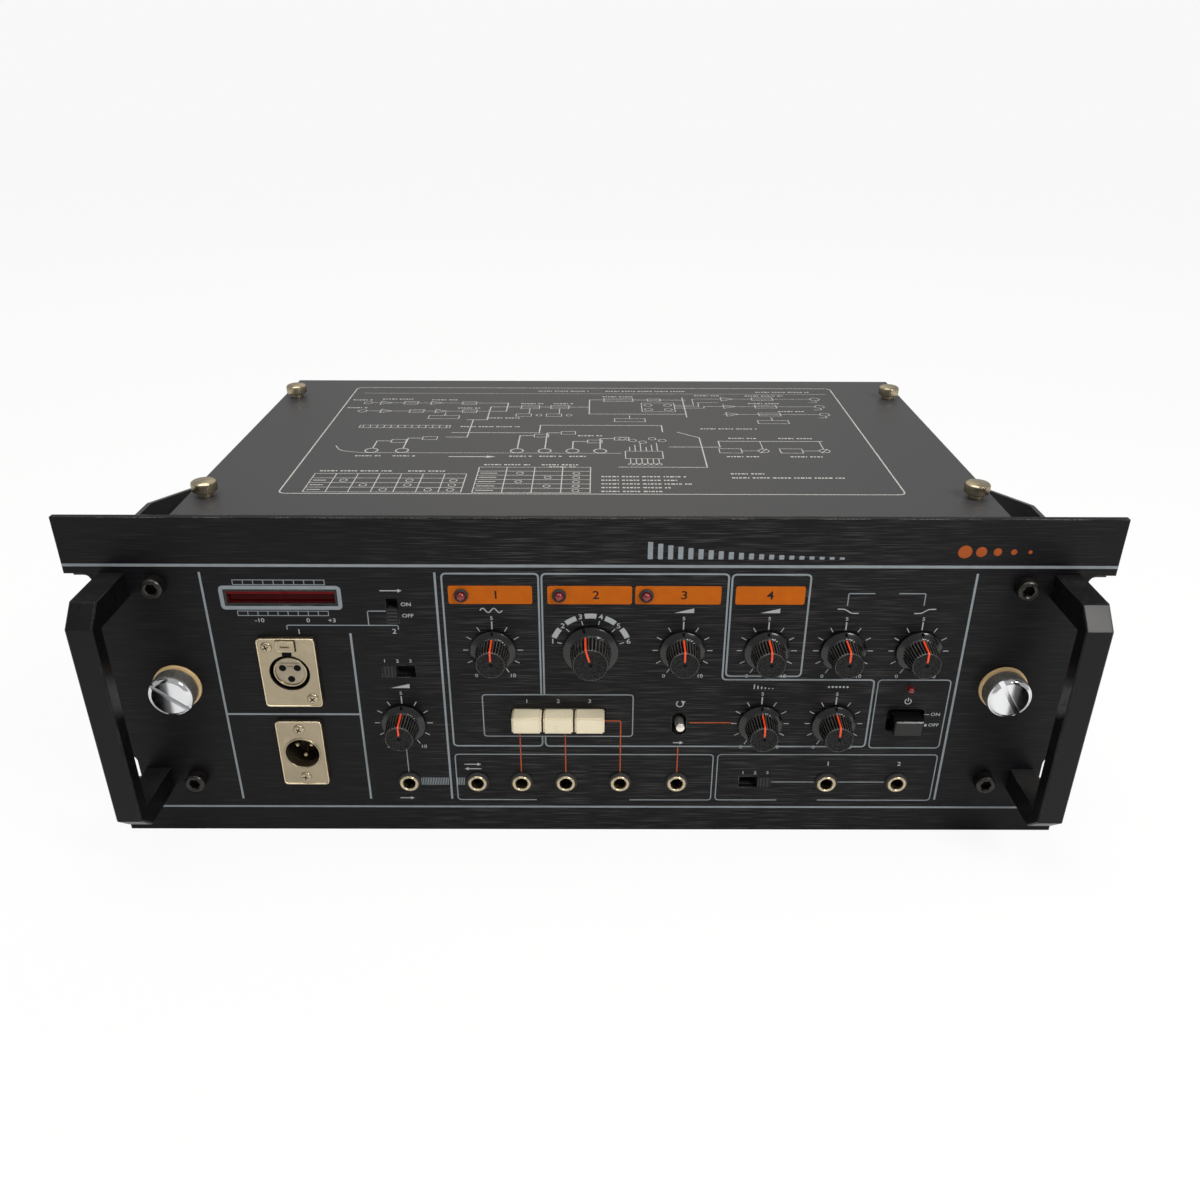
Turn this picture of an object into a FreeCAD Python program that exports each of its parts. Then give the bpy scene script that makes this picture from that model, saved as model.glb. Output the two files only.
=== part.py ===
import FreeCAD, Part
import math
import os
from types import SimpleNamespace

import Sketcher

# Tape echo unit for a 19-inch rack, four units tall.
# Frame: X to the right and Y to the back, seen from the front, and Z up, in millimetres.
# The origin is the middle of the panel's lower front edge.

SIZES = {
    # front panel, from the rack standard
    "panel_width": 482.6,
    "panel_height": 177.0,
    "panel_thickness": 3.0,
    "rack_hole_spacing": 101.6,
    "notch_half_height": 9.8,
    "notch_depth": 12.1,
    "notch_corner": 4.5,
    # rack bracket behind each ear
    "bracket_sheet": 2.0,
    "bracket_edge_inset": 2.7,
    "bracket_inner_reach": 43.9,
    "bracket_margin": 4.0,
    "bracket_notch_margin": 2.2,
    "bracket_notch_inset": 0.6,
    "gusset_inset": 33.3,
    "gusset_level_depth": 29.0,
    "gusset_depth": 110.0,
    "gusset_slope_drop": 19.5,
    "gusset_rear_low": 60.0,
    "gusset_foot_depth": 40.0,
    "spacer_height": 16.0,
    "spacer_length": 30.0,
    "spacer_front": 45.0,
    "spacer_spread": 35.0,
    "boss_flats": 11.0,
    "boss_length": 5.0,
    # socket screws and thumbscrews through the panel
    "screw_inset": 40.9,
    "screw_spread": 55.2,
    "screw_shank_radius": 3.0,
    "screw_head_radius": 5.0,
    "screw_head_height": 6.0,
    "screw_socket_flats": 5.0,
    "screw_socket_depth": 3.0,
    "screw_length": 16.0,
    "screw_clearance": 0.3,
    "thread_clearance": 0.1,
    "thumb_head_radius": 10.75,
    "thumb_head_height": 9.5,
    "thumb_head_sides": 36,
    "thumb_slot_width": 2.4,
    "thumb_slot_depth": 2.0,
    "thumb_slot_angle": 40.0,
    "washer_radius": 11.6,
    "washer_thickness": 1.5,
    # handles
    "handle_inset": 21.9,
    "handle_width": 12.0,
    "handle_height": 122.0,
    "handle_reach": 38.3,
    "handle_foot": 12.0,
    "handle_grip": 8.4,
    "handle_chamfer": 8.8,
    "handle_edge": 0.6,
    # chassis and cover
    "chassis_inset": 48.3,
    "chassis_low": 4.0,
    "chassis_front_gap": 1.4,
    "chassis_sheet": 1.2,
    "chassis_flange": 14.0,
    "cover_drop": 5.0,
    "cover_sheet": 1.5,
    "cover_lip": 9.0,
    "cover_front_gap": 0.6,
    "cover_bend": 1.2,
    "fit_gap": 0.4,
    "seat_gap": 0.1,
    "cut_past": 1.0,
    "case_depth": 246.4,
    "cover_screw_side_gap": 7.4,
    "cover_screw_front": 39.0,
    "cover_screw_rear_gap": 39.4,
    "cover_screw_head_radius": 6.0,
    "cover_screw_head_height": 8.0,
    "cover_screw_head_sides": 24,
    "cover_screw_shank_radius": 2.0,
    "cover_screw_length": 10.0,
    # rear panel
    "rear_sheet": 1.5,
    "rear_margin": 1.0,
    "vent_width": 3.0,
    "vent_height": 40.0,
    "vent_pitch": 9.0,
    "vent_count": 12,
    "gland_side_gap": 43.0,
    "gland_row": 30.0,
    "gland_radius": 8.0,
    "gland_flange": 4.0,
    "gland_bore_radius": 3.6,
    "gland_nut_flats": 20.0,
    # rows and columns of the controls, the columns for a panel of the layout width
    "layout_width": 482.6,
    "row_high": 109.0,
    "row_low": 67.2,
    "row_jacks": 31.2,
    "row_lamps": 138.4,
    "column_input": -92.6,
    "column_depth": -46.5,
    "column_mode": 0.0,
    "column_volume": 43.8,
    "column_reverb": 84.0,
    "column_bass": 120.4,
    "column_treble": 156.4,
    # knobs
    "knob_gap": 0.5,
    "knob_skirt_radius": 10.8,
    "knob_skirt_thickness": 2.4,
    "knob_waist_radius": 8.0,
    "knob_top_radius": 7.1,
    "knob_height": 14.5,
    "knob_flutes": 12,
    "knob_flute_depth": 0.7,
    "knob_ridge_share": 0.55,
    "mode_skirt_radius": 13.2,
    "mode_waist_radius": 9.6,
    "mode_top_radius": 8.6,
    # rotary controls
    "shaft_radius": 3.0,
    "shaft_fit": 0.05,
    "shaft_reach": 9.0,
    "shaft_clearance": 0.3,
    "rotary_width": 16.8,
    "board_plane": 15.0,
    "board_thickness": 1.6,
    "board_left": -106.0,
    "board_side_gap": 15.0,
    "board_low": 44.0,
    "board_high": 150.0,
    # level meter
    "meter_column": -143.8,
    "meter_row": 136.8,
    "meter_width": 51.8,
    "meter_height": 7.8,
    "meter_recess": 1.0,
    "meter_bar_margin": 1.6,
    "meter_bar_depth": 1.0,
    "meter_flange": 3.0,
    "meter_depth": 9.0,
    # lamps
    "lamp_one": -60.0,
    "lamp_two": -14.6,
    "lamp_three": 25.9,
    "lamp_radius": 2.2,
    "lamp_proud": 1.6,
    "lamp_length": 7.0,
    "lamp_holder_wall": 1.0,
    "lamp_holder_proud": 0.9,
    "power_lamp_row": 87.7,
    "power_lamp_radius": 1.6,
    # slide switches
    "direct_row": 129.9,
    "direct_slot_width": 5.4,
    "direct_slot_height": 13.0,
    "direct_travel": 5.2,
    "level_row": 97.0,
    "level_slot_width": 16.4,
    "level_slot_height": 6.6,
    "level_travel": 9.2,
    "slider_gap": 0.3,
    "slider_proud": 0.6,
    "slider_ribs": 4,
    "slide_wall": 2.0,
    "slide_recess": 5.0,
    # push buttons
    "button_row": 70.6,
    "button_first": -31.3,
    "button_pitch": 15.4,
    "button_width": 14.5,
    "button_height": 9.1,
    "button_proud": 8.2,
    "button_rear": 2.0,
    "button_edge": 0.7,
    "button_gap": 0.6,
    "button_travel": 4.0,
    "stem_width": 3.4,
    "stem_fit": 0.08,
    "stem_length": 7.5,
    "power_column": 155.6,
    "power_row": 69.3,
    "power_width": 14.0,
    "power_height": 8.4,
    "power_proud": 8.2,
    "power_travel": 5.0,
    "power_gap": 2.6,
    "power_corner": 3.0,
    # toggle switch
    "toggle_row": 66.7,
    "toggle_slot_width": 7.2,
    "toggle_slot_height": 13.2,
    "toggle_pivot": 6.0,
    "toggle_lever_radius": 1.9,
    "toggle_proud": 8.0,
    "toggle_tail": 3.5,
    "toggle_pin_radius": 1.0,
    "toggle_tilt": 12.0,
    "toggle_housing_width": 13.0,
    "toggle_housing_height": 18.0,
    # jacks
    "jack_effect": -57.8,
    "jack_one": -35.3,
    "jack_two": -12.7,
    "jack_three": 14.9,
    "jack_bore_radius": 3.25,
    "jack_ferrule_radius": 4.6,
    "jack_ferrule_proud": 2.0,
    "jack_ferrule_clearance": 0.2,
    "jack_body_width": 13.0,
    "jack_body_depth": 22.0,
    "jack_bore_depth": 20.0,
    # three-pole connectors
    "connector_column": -144.4,
    "connector_flange": 2.2,
    "connector_corner": 2.2,
    "connector_hole_clearance": 0.3,
    "input_row": 97.1,
    "input_width": 27.7,
    "input_height": 38.1,
    "input_barrel_radius": 11.4,
    "input_mouth_radius": 9.7,
    "input_mouth_depth": 8.0,
    "input_insert_radius": 8.1,
    "input_insert_proud": 1.4,
    "input_depth": 22.0,
    "contact_radius": 1.3,
    "contact_depth": 8.0,
    "contact_circle": 4.1,
    "latch_row": 15.3,
    "latch_width": 8.8,
    "latch_height": 6.0,
    "latch_proud": 1.4,
    "latch_rear": 6.0,
    "latch_groove": 1.2,
    "latch_gap": 0.3,
    "output_row": 50.1,
    "output_width": 22.9,
    "output_height": 38.4,
    "output_cup_radius": 8.4,
    "output_barrel_radius": 9.9,
    "output_cup_depth": 12.0,
    "output_depth": 18.0,
    "pin_radius": 1.2,
    "pin_length": 9.5,
    "connector_screw_offset": 14.4,
    "connector_screw_side": 9.3,
    "connector_screw_radius": 2.6,
    "connector_screw_height": 1.2,
    # tape transport under the cover
    "deck_top": 121.5,
    "deck_sheet": 1.5,
    "deck_front": 44.0,
    "deck_rear_gap": 10.4,
    "deck_flange": 12.0,
    "tank_side_gap": 9.0,
    "tank_capstan_gap": 20.0,
    "tank_front": 62.0,
    "tank_rear_gap": 8.0,
    "tank_wall": 2.0,
    "tank_height": 20.0,
    "tank_mouth_margin": 14.0,
    "tape_width": 6.35,
    "tape_thickness": 0.3,
    "tape_lift": 7.0,
    "tape_line": 82.0,
    "tape_return_gap": 23.0,
    "tape_guide_side_gap": 21.0,
    "tape_fold_pitch": 20.5,
    "tape_fold_left_gap": 20.0,
    "tape_fold_right_gap": 28.0,
    "guide_radius": 6.0,
    "guide_rise": 2.0,
    "head_capstan_gap": 20.0,
    "head_pitch": 12.4,
    "head_count": 6,
    "head_width": 9.0,
    "head_depth": 13.0,
    "head_height": 16.0,
    "head_nose": 3.0,
    "head_nose_share": 0.45,
    "capstan_guide_gap": 100.0,
    "capstan_radius": 3.0,
    "capstan_rise": 19.0,
    "capstan_clearance": 0.5,
    "rolling_gap": 0.3,
    "flywheel_radius": 22.0,
    "flywheel_thickness": 6.0,
    "flywheel_drop": 5.0,
    "capstan_seat": 6.0,
    "roller_radius": 9.0,
    "roller_height": 11.0,
    "roller_pin_radius": 2.0,
    "arm_thickness": 3.0,
    "arm_lift": 0.3,
    "arm_width": 10.0,
    "arm_run": 32.0,
    "arm_pivot_line": 104.0,
    "arm_pivot_radius": 2.5,
    # drive motor below the deck
    "motor_radius": 19.0,
    "motor_height": 34.0,
    "motor_plate": 2.0,
    "motor_plate_half": 30.0,
    "motor_plate_drop": 16.0,
    "motor_post_flats": 6.0,
    "motor_post_inset": 4.0,
    # pieces on the chassis floor
    "transformer_side_gap": 19.0,
    "transformer_rear_gap": 70.4,
    "transformer_width": 66.0,
    "transformer_depth": 46.0,
    "transformer_height": 54.0,
    "transformer_coil": 9.0,
    "transformer_foot": 8.0,
    "transformer_foot_thickness": 2.0,
    "reverb_side_gap": 17.0,
    "reverb_rear_gap": 16.4,
    "reverb_length": 236.0,
    "reverb_depth": 44.0,
    "reverb_height": 34.0,
    "reverb_sheet": 1.5,
    "reverb_foot": 10.0,
    "main_board_left": -150.0,
    "main_board_front": 60.0,
    "main_board_width": 230.0,
    "main_board_rear_gap": 16.0,
    "main_board_lift": 8.0,
    "standoff_flats": 6.0,
    "standoff_inset": 8.0,
    "capacitor_radius": 8.0,
    "capacitor_height": 24.0,
    "capacitor_pitch": 26.0,
    "capacitor_count": 3,
}

doc = FreeCAD.newDocument("TapeEchoUnit")
sheet = doc.addObject("Spreadsheet::Sheet", "Sizes")
for row, (alias, number) in enumerate(SIZES.items(), start=1):
    sheet.set(f"A{row}", str(number))
    sheet.setAlias(f"A{row}", alias)
doc.recompute()


class Dim:
    """A size that knows its number and the spreadsheet expression that gives it."""

    def __init__(self, value, text):
        self.value = value
        self.text = text

    def joined(self, sign, other, value):
        return Dim(value, f"({self.text} {sign} {other.text})")

    def __add__(self, other):
        other = as_dim(other)
        return self.joined("+", other, self.value + other.value)

    def __sub__(self, other):
        other = as_dim(other)
        return self.joined("-", other, self.value - other.value)

    def __mul__(self, other):
        other = as_dim(other)
        return self.joined("*", other, self.value * other.value)

    def __truediv__(self, other):
        other = as_dim(other)
        return self.joined("/", other, self.value / other.value)

    def __radd__(self, other):
        return as_dim(other) + self

    def __rsub__(self, other):
        return as_dim(other) - self

    def __rmul__(self, other):
        return as_dim(other) * self

    def __neg__(self):
        return Dim(-self.value, f"(-{self.text})")


def as_dim(number):
    return number if isinstance(number, Dim) else Dim(float(number), f"({float(number)})")


S = SimpleNamespace(**{name: Dim(float(sheet.get(name)), f"Sizes.{name}") for name in SIZES})
ZERO = as_dim(0)
NEAR = 1e-6

# ---------------------------------------------------------------- drawing helpers
NODES = {}
CUTS = []
PLANES = {"XY": "XY_Plane", "XZ": "XZ_Plane", "YZ": "YZ_Plane"}


def bind(thing, path, size):
    """Ties a property or a constraint to the spreadsheet."""
    thing.setExpression(path, as_dim(size).text)


def new_body(label, is_node=True):
    body = doc.addObject("PartDesign::Body", label)
    body.Label = label
    if is_node:
        NODES[label] = body
    return body


def place(piece, x=0, y=0, z=0):
    for axis, size in (("x", x), ("y", y), ("z", z)):
        bind(piece, f"Placement.Base.{axis}", size)


def new_sketch(body, plane, along=0, across=0, up=0):
    """A sketch on one of the body's planes; along is its place on the plane's normal."""
    sketch = body.newObject("Sketcher::SketchObject", "Outline")
    feature = [f for f in body.Origin.OriginFeatures if f.Role == PLANES[plane]][0]
    sketch.AttachmentSupport = [(feature, "")]
    sketch.MapMode = "FlatFace"
    bind(sketch, "AttachmentOffset.Base.x", across)
    bind(sketch, "AttachmentOffset.Base.y", up)
    bind(sketch, "AttachmentOffset.Base.z", -as_dim(along) if plane == "XZ" else along)
    return sketch


def hold(sketch, kind, places, size):
    index = sketch.addConstraint(Sketcher.Constraint(kind, *places, size.value))
    bind(sketch, f"Constraints[{index}]", size)


def pin(sketch, edge, point, x, y):
    """Fixes a point of an edge at x, y from the sketch's origin."""
    for kind, size in (("DistanceX", as_dim(x)), ("DistanceY", as_dim(y))):
        if size.value >= 0:
            hold(sketch, kind, (-1, 1, edge, point), size)
        else:
            hold(sketch, kind, (edge, point, -1, 1), -size)


def vector(x, y):
    return FreeCAD.Vector(as_dim(x).value, as_dim(y).value, 0)


def closed(*corners):
    """A closed outline with straight sides."""

    def draw(sketch):
        first = sketch.GeometryCount
        count = len(corners)
        for i, corner in enumerate(corners):
            following = corners[(i + 1) % count]
            sketch.addGeometry(Part.LineSegment(vector(*corner), vector(*following)))
        for i, corner in enumerate(corners):
            pin(sketch, first + i, 1, *corner)
            following = first + (i + 1) % count
            sketch.addConstraint(Sketcher.Constraint("Coincident", first + i, 2, following, 1))

    return draw


def rectangle(left, right, low, high):
    return closed((left, low), (right, low), (right, high), (left, high))


def mirrored_rectangle(side, near, far, low, high):
    """A rectangle from near to far of the middle line, on the given side."""
    return rectangle(near, far, low, high) if side > 0 else rectangle(-far, -near, low, high)


def centred(x, y, width, height):
    x, y, width, height = (as_dim(size) for size in (x, y, width, height))
    return rectangle(x - width / 2, x + width / 2, y - height / 2, y + height / 2)


def rounded(x, y, width, height, radius):
    """A rectangle about x, y with round corners."""
    x, y, width, height, radius = (as_dim(size) for size in (x, y, width, height, radius))
    left, right = x - width / 2, x + width / 2
    low, high = y - height / 2, y + height / 2
    ends = [
        (left + radius, low), (right - radius, low), (right, low + radius), (right, high - radius),
        (right - radius, high), (left + radius, high), (left, high - radius), (left, low + radius),
    ]
    middles = [
        (right - radius, low + radius), (right - radius, high - radius),
        (left + radius, high - radius), (left + radius, low + radius),
    ]

    def draw(sketch):
        first = sketch.GeometryCount
        for corner in range(4):
            start, end = ends[2 * corner], ends[2 * corner + 1]
            sketch.addGeometry(Part.LineSegment(vector(*start), vector(*end)))
            turn_start = math.radians(90 * corner - 90)
            circle = Part.Circle(vector(*middles[corner]), FreeCAD.Vector(0, 0, 1), radius.value)
            sketch.addGeometry(Part.ArcOfCircle(circle, turn_start, turn_start + math.pi / 2))
        for corner in range(4):
            line, arc = first + 2 * corner, first + 2 * corner + 1
            following = first + (2 * corner + 2) % 8
            pin(sketch, line, 1, *ends[2 * corner])
            pin(sketch, line, 2, *ends[2 * corner + 1])
            sketch.addConstraint(Sketcher.Constraint("Coincident", line, 2, arc, 1))
            sketch.addConstraint(Sketcher.Constraint("Coincident", arc, 2, following, 1))
            hold(sketch, "Radius", (arc,), radius)

    return draw


def disc(x, y, radius):
    def draw(sketch):
        circle = Part.Circle(vector(x, y), FreeCAD.Vector(0, 0, 1), as_dim(radius).value)
        edge = sketch.addGeometry(circle)
        hold(sketch, "Radius", (edge,), as_dim(radius))
        pin(sketch, edge, 3, x, y)

    return draw


def polygon(x, y, across, sides):
    """A regular outline by the distance of its flats from its middle, such as a nut's."""
    corner = as_dim(across) / math.cos(math.pi / sides)
    turns = [2 * math.pi * (i + 0.5) / sides for i in range(sides)]
    return closed(*[(x + corner * math.cos(turn), y + corner * math.sin(turn)) for turn in turns])


def fluted(outer, depth):
    """A grip's outline: flat ridges with a V groove between each pair."""
    flutes = SIZES["knob_flutes"]
    step = 2 * math.pi / flutes
    ridge = step * SIZES["knob_ridge_share"] / 2
    corners = []
    for i in range(flutes):
        for offset, radius in ((-ridge, outer), (ridge, outer), (step / 2, outer - depth)):
            angle = i * step + offset
            corners.append((radius * math.cos(angle), radius * math.sin(angle)))
    return closed(*corners)


# ---------------------------------------------------------------- feature helpers
def grow(body, plane, start, end, *drawings):
    """Pads the drawings from start to end along the plane's own axis."""
    start, end = as_dim(start), as_dim(end)
    sketch = new_sketch(body, plane, end if plane == "XZ" else start)
    for draw in drawings:
        draw(sketch)
    pad = body.newObject("PartDesign::Pad", "Pad")
    pad.Profile = sketch
    bind(pad, "Length", end - start)
    return pad


def carve(body, plane, start, end, *drawings):
    """Pockets the drawings from start to end along the plane's own axis."""
    start, end = as_dim(start), as_dim(end)
    sketch = new_sketch(body, plane, start if plane == "XZ" else end)
    for draw in drawings:
        draw(sketch)
    pocket = body.newObject("PartDesign::Pocket", "Pocket")
    pocket.Profile = sketch
    bind(pocket, "Length", end - start)
    CUTS.append(pocket)
    return pocket


def grow_sideways(body, side, near, far, *drawings):
    """Pads the drawings along X, from near to far of the middle, on the given side."""
    near, far = as_dim(near), as_dim(far)
    if side > 0:
        grow(body, "YZ", near, far, *drawings)
    else:
        grow(body, "YZ", -far, -near, *drawings)


def turn(body, axis, profile, x=0, other=0, kind="PartDesign::Revolution"):
    """Turns a profile of (radius, height) about a line along Y or Z at x and other."""
    sketch = new_sketch(body, "XY" if axis == "Y" else "XZ", other, across=x)
    closed(*profile)(sketch)
    feature = body.newObject(kind, kind.split("::")[1])
    feature.Profile = sketch
    feature.ReferenceAxis = (sketch, ["V_Axis"])
    feature.Angle = 360
    return feature


def edges_where(shape, test):
    return [f"Edge{i}" for i, edge in enumerate(shape.Edges, start=1) if test(edge)]


def dress(body, kind, size, test):
    """A fillet or chamfer on the edges of the body that pass the test."""
    doc.recompute()
    base = body.Tip
    feature = body.newObject(f"PartDesign::{kind}", kind)
    feature.Base = (base, edges_where(base.Shape, test))
    bind(feature, "Radius" if kind == "Fillet" else "Size", size)
    return feature


def runs_along(edge, axis):
    box = edge.BoundBox
    spans = {"X": box.XLength, "Y": box.YLength, "Z": box.ZLength}
    return all(span < NEAR for name, span in spans.items() if name != axis)


def lies_at(edge, axis, size):
    box = edge.BoundBox
    low, high = {"X": (box.XMin, box.XMax), "Y": (box.YMin, box.YMax), "Z": (box.ZMin, box.ZMax)}[axis]
    value = as_dim(size).value
    return abs(low - value) < NEAR and abs(high - value) < NEAR


def loft(body, plane, stations):
    """Joins outlines that lie one behind the other; stations are (place, drawing)."""
    sketches = []
    for along, draw in stations:
        sketch = new_sketch(body, plane, along)
        draw(sketch)
        sketches.append(sketch)
    feature = body.newObject("PartDesign::AdditiveLoft", "Loft")
    feature.Profile = sketches[0]
    feature.Sections = sketches[1:]
    feature.Ruled = True
    return feature


def row_pattern(body, feature, axis, pitch, count):
    pattern = body.newObject("PartDesign::LinearPattern", "Row")
    pattern.Originals = [feature]
    pattern.Direction = (feature.Profile[0], [axis])
    pattern.Mode = "Spacing"
    bind(pattern, "Offset", pitch)
    bind(pattern, "Occurrences", count)
    body.Tip = pattern
    return pattern


def copy_of(body, x=0, y=0, z=0):
    link = doc.addObject("App::Link", f"{body.Label}_copy")
    link.LinkedObject = body
    place(link, x, y, z)
    return link


def group(label, pieces):
    """Like pieces that share one node, each a solid of its own."""
    compound = doc.addObject("Part::Compound", label)
    compound.Label = label
    compound.Links = pieces
    NODES[label] = compound
    return compound


# ---------------------------------------------------------------- places worked out once
def spread(column):
    """Where a column of controls stands: columns move apart with the panel's ends."""
    return column * S.panel_width / S.layout_width


BACK = S.panel_thickness
MIDDLE = S.panel_height / 2
EAR = S.panel_width / 2
NOTCH_ROWS = (MIDDLE - S.rack_hole_spacing / 2, MIDDLE + S.rack_hole_spacing / 2)
SCREW_COLUMN = EAR - S.screw_inset
SCREW_ROWS = (MIDDLE - S.screw_spread, MIDDLE + S.screw_spread)
FLANGE_BACK = BACK + S.bracket_sheet
SPACER_ROWS = (MIDDLE - S.spacer_spread, MIDDLE + S.spacer_spread)
CHASSIS_HALF = EAR - S.chassis_inset
COVER_TOP = S.panel_height - S.cover_drop
CHASSIS_TOP = COVER_TOP - S.cover_sheet - S.seat_gap
CHASSIS_FRONT = BACK + S.chassis_front_gap
REAR_OUT = S.case_depth - S.cover_sheet - S.fit_gap
REAR_IN = REAR_OUT - S.rear_sheet
CHASSIS_INNER = CHASSIS_HALF - S.chassis_sheet
FLOOR = S.chassis_low + S.chassis_sheet
COVER_HALF = CHASSIS_HALF + S.fit_gap + S.cover_sheet
COVER_SCREW_COLUMN = CHASSIS_HALF - S.cover_screw_side_gap
GLAND_COLUMN = CHASSIS_HALF - S.gland_side_gap
COVER_SCREW_REAR = S.case_depth - S.cover_screw_rear_gap
COVER_SCREWS = {
    "front_left": (-COVER_SCREW_COLUMN, S.cover_screw_front),
    "front_right": (COVER_SCREW_COLUMN, S.cover_screw_front),
    "rear_left": (-COVER_SCREW_COLUMN, COVER_SCREW_REAR),
    "rear_right": (COVER_SCREW_COLUMN, COVER_SCREW_REAR),
}
INPUT_COLUMN = spread(S.column_input)
VOLUME_COLUMN = spread(S.column_volume)
REVERB_COLUMN = spread(S.column_reverb)
BASS_COLUMN = spread(S.column_bass)
TREBLE_COLUMN = spread(S.column_treble)
POWER_COLUMN = spread(S.power_column)
METER_COLUMN = spread(S.meter_column)
CONNECTOR_COLUMN = spread(S.connector_column)
KNOBS = {
    "knob_input_volume": (INPUT_COLUMN, S.row_low),
    "knob_depth": (spread(S.column_depth), S.row_high),
    "knob_mode": (spread(S.column_mode), S.row_high),
    "knob_echo_volume": (VOLUME_COLUMN, S.row_high),
    "knob_reverb_volume": (REVERB_COLUMN, S.row_high),
    "knob_bass": (BASS_COLUMN, S.row_high),
    "knob_treble": (TREBLE_COLUMN, S.row_high),
    "knob_intensity": (REVERB_COLUMN, S.row_low),
    "knob_repeat_rate": (BASS_COLUMN, S.row_low),
}
JACKS = (
    INPUT_COLUMN, spread(S.jack_effect), spread(S.jack_one), spread(S.jack_two),
    spread(S.jack_three), VOLUME_COLUMN, BASS_COLUMN, TREBLE_COLUMN,
)
LAMPS = tuple(spread(lamp) for lamp in (S.lamp_one, S.lamp_two, S.lamp_three))
BUTTONS = tuple(spread(S.button_first) + i * S.button_pitch for i in range(3))
BUTTON_BLOCK = S.button_pitch * 2 + S.button_width
CONTACTS = tuple(
    (S.contact_circle * math.sin(math.radians(a)), S.contact_circle * math.cos(math.radians(a)))
    for a in (60, 180, 300)
)
CONNECTOR_BARRELS = (
    (S.input_row, S.input_barrel_radius),
    (S.output_row, S.output_barrel_radius),
)
LEVEL_SLIDES = {"input": (INPUT_COLUMN, S.level_row), "output": (REVERB_COLUMN, S.row_jacks)}


# ---------------------------------------------------------------- panel, brackets, handles
def rack_notches(half_height, depth):
    """The four open notches, drawn past the ears' ends so that their mouths stay open."""
    drawings = []
    for side in (-1, 1):
        for row_place in NOTCH_ROWS:
            width, height = depth * 2, half_height * 2
            drawings.append(rounded(side * EAR, row_place, width, height, S.notch_corner))
    return drawings


def make_front_panel():
    body = new_body("front_panel")
    grow(body, "XZ", 0, BACK, rectangle(-EAR, EAR, 0, S.panel_height))
    carve(body, "XZ", 0, BACK, *rack_notches(S.notch_half_height, S.notch_depth))
    clear = S.screw_shank_radius + S.screw_clearance
    rows = SCREW_ROWS + (MIDDLE,)
    round_holes = [disc(side * SCREW_COLUMN, z, clear) for side in (-1, 1) for z in rows]
    round_holes += [disc(x, z, S.shaft_radius + S.shaft_clearance) for x, z in KNOBS.values()]
    ferrule = S.jack_ferrule_radius + S.jack_ferrule_clearance
    round_holes += [disc(x, S.row_jacks, ferrule) for x in JACKS]
    holder = S.lamp_radius + S.lamp_holder_wall + S.thread_clearance
    round_holes += [disc(x, S.row_lamps, holder) for x in LAMPS]
    lamp = S.power_lamp_radius + S.thread_clearance
    round_holes.append(disc(POWER_COLUMN, S.power_lamp_row, lamp))
    for row_place, barrel in CONNECTOR_BARRELS:
        hole = barrel + S.connector_hole_clearance
        round_holes.append(disc(CONNECTOR_COLUMN, row_place, hole))
    carve(body, "XZ", 0, BACK, *round_holes)
    slots = [centred(INPUT_COLUMN, S.direct_row, S.direct_slot_width, S.direct_slot_height)]
    for x, z in LEVEL_SLIDES.values():
        slots.append(centred(x, z, S.level_slot_width, S.level_slot_height))
    slots.append(centred(METER_COLUMN, S.meter_row, S.meter_width, S.meter_height))
    gap = S.button_gap * 2
    slots.append(centred(BUTTONS[1], S.button_row, BUTTON_BLOCK + gap, S.button_height + gap))
    power_width = S.power_width + S.power_gap * 2
    power_height = S.power_height + S.power_gap * 2
    slots.append(rounded(POWER_COLUMN, S.power_row, power_width, power_height, S.power_corner))
    slot_round = S.toggle_slot_width / 2 - S.shaft_fit
    slots.append(
        rounded(VOLUME_COLUMN, S.toggle_row, S.toggle_slot_width, S.toggle_slot_height, slot_round)
    )
    carve(body, "XZ", 0, BACK, *slots)
    half = S.latch_width / 2 + S.latch_gap
    latch_top = S.input_row + S.latch_row + S.latch_height / 2 + S.latch_gap
    column = CONNECTOR_COLUMN
    carve(body, "XZ", 0, BACK, rectangle(column - half, column + half, S.input_row, latch_top))


def make_rack_bracket(side, label):
    """A pressed angle: flange behind the ear, gusset to the rear, spacers to the chassis."""
    body = new_body(label)
    high = COVER_TOP
    outer = EAR - S.bracket_edge_inset
    inner = EAR - S.bracket_inner_reach
    grow(body, "XZ", BACK, FLANGE_BACK, mirrored_rectangle(side, inner, outer, S.bracket_margin, high))
    gusset = closed(
        (FLANGE_BACK, S.bracket_margin),
        (S.gusset_foot_depth, S.bracket_margin),
        (S.gusset_depth, S.gusset_rear_low),
        (S.gusset_depth, high - S.gusset_slope_drop),
        (S.gusset_level_depth, high),
        (FLANGE_BACK, high),
    )
    near = EAR - S.gusset_inset
    far = near + S.bracket_sheet
    grow_sideways(body, side, near, far, gusset)
    rear = S.spacer_front + S.spacer_length
    half = S.spacer_height / 2
    spacers = [rectangle(S.spacer_front, rear, z - half, z + half) for z in SPACER_ROWS]
    grow_sideways(body, side, CHASSIS_HALF, near, *spacers)
    column = side * SCREW_COLUMN
    rows = SCREW_ROWS + (MIDDLE,)
    bosses = [polygon(column, z, S.boss_flats / 2, 6) for z in rows]
    grow(body, "XZ", FLANGE_BACK, FLANGE_BACK + S.boss_length, *bosses)
    half_height = S.notch_half_height - S.bracket_notch_margin
    notches = rack_notches(half_height, S.notch_depth - S.bracket_notch_inset)
    carve(body, "XZ", BACK, FLANGE_BACK, *(notches[:2] if side < 0 else notches[2:]))
    thread = S.screw_shank_radius + S.thread_clearance
    clear = S.screw_shank_radius + S.screw_clearance
    bores = [disc(column, z, thread) for z in SCREW_ROWS] + [disc(column, MIDDLE, clear)]
    carve(body, "XZ", BACK, FLANGE_BACK + S.boss_length, *bores)


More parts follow.
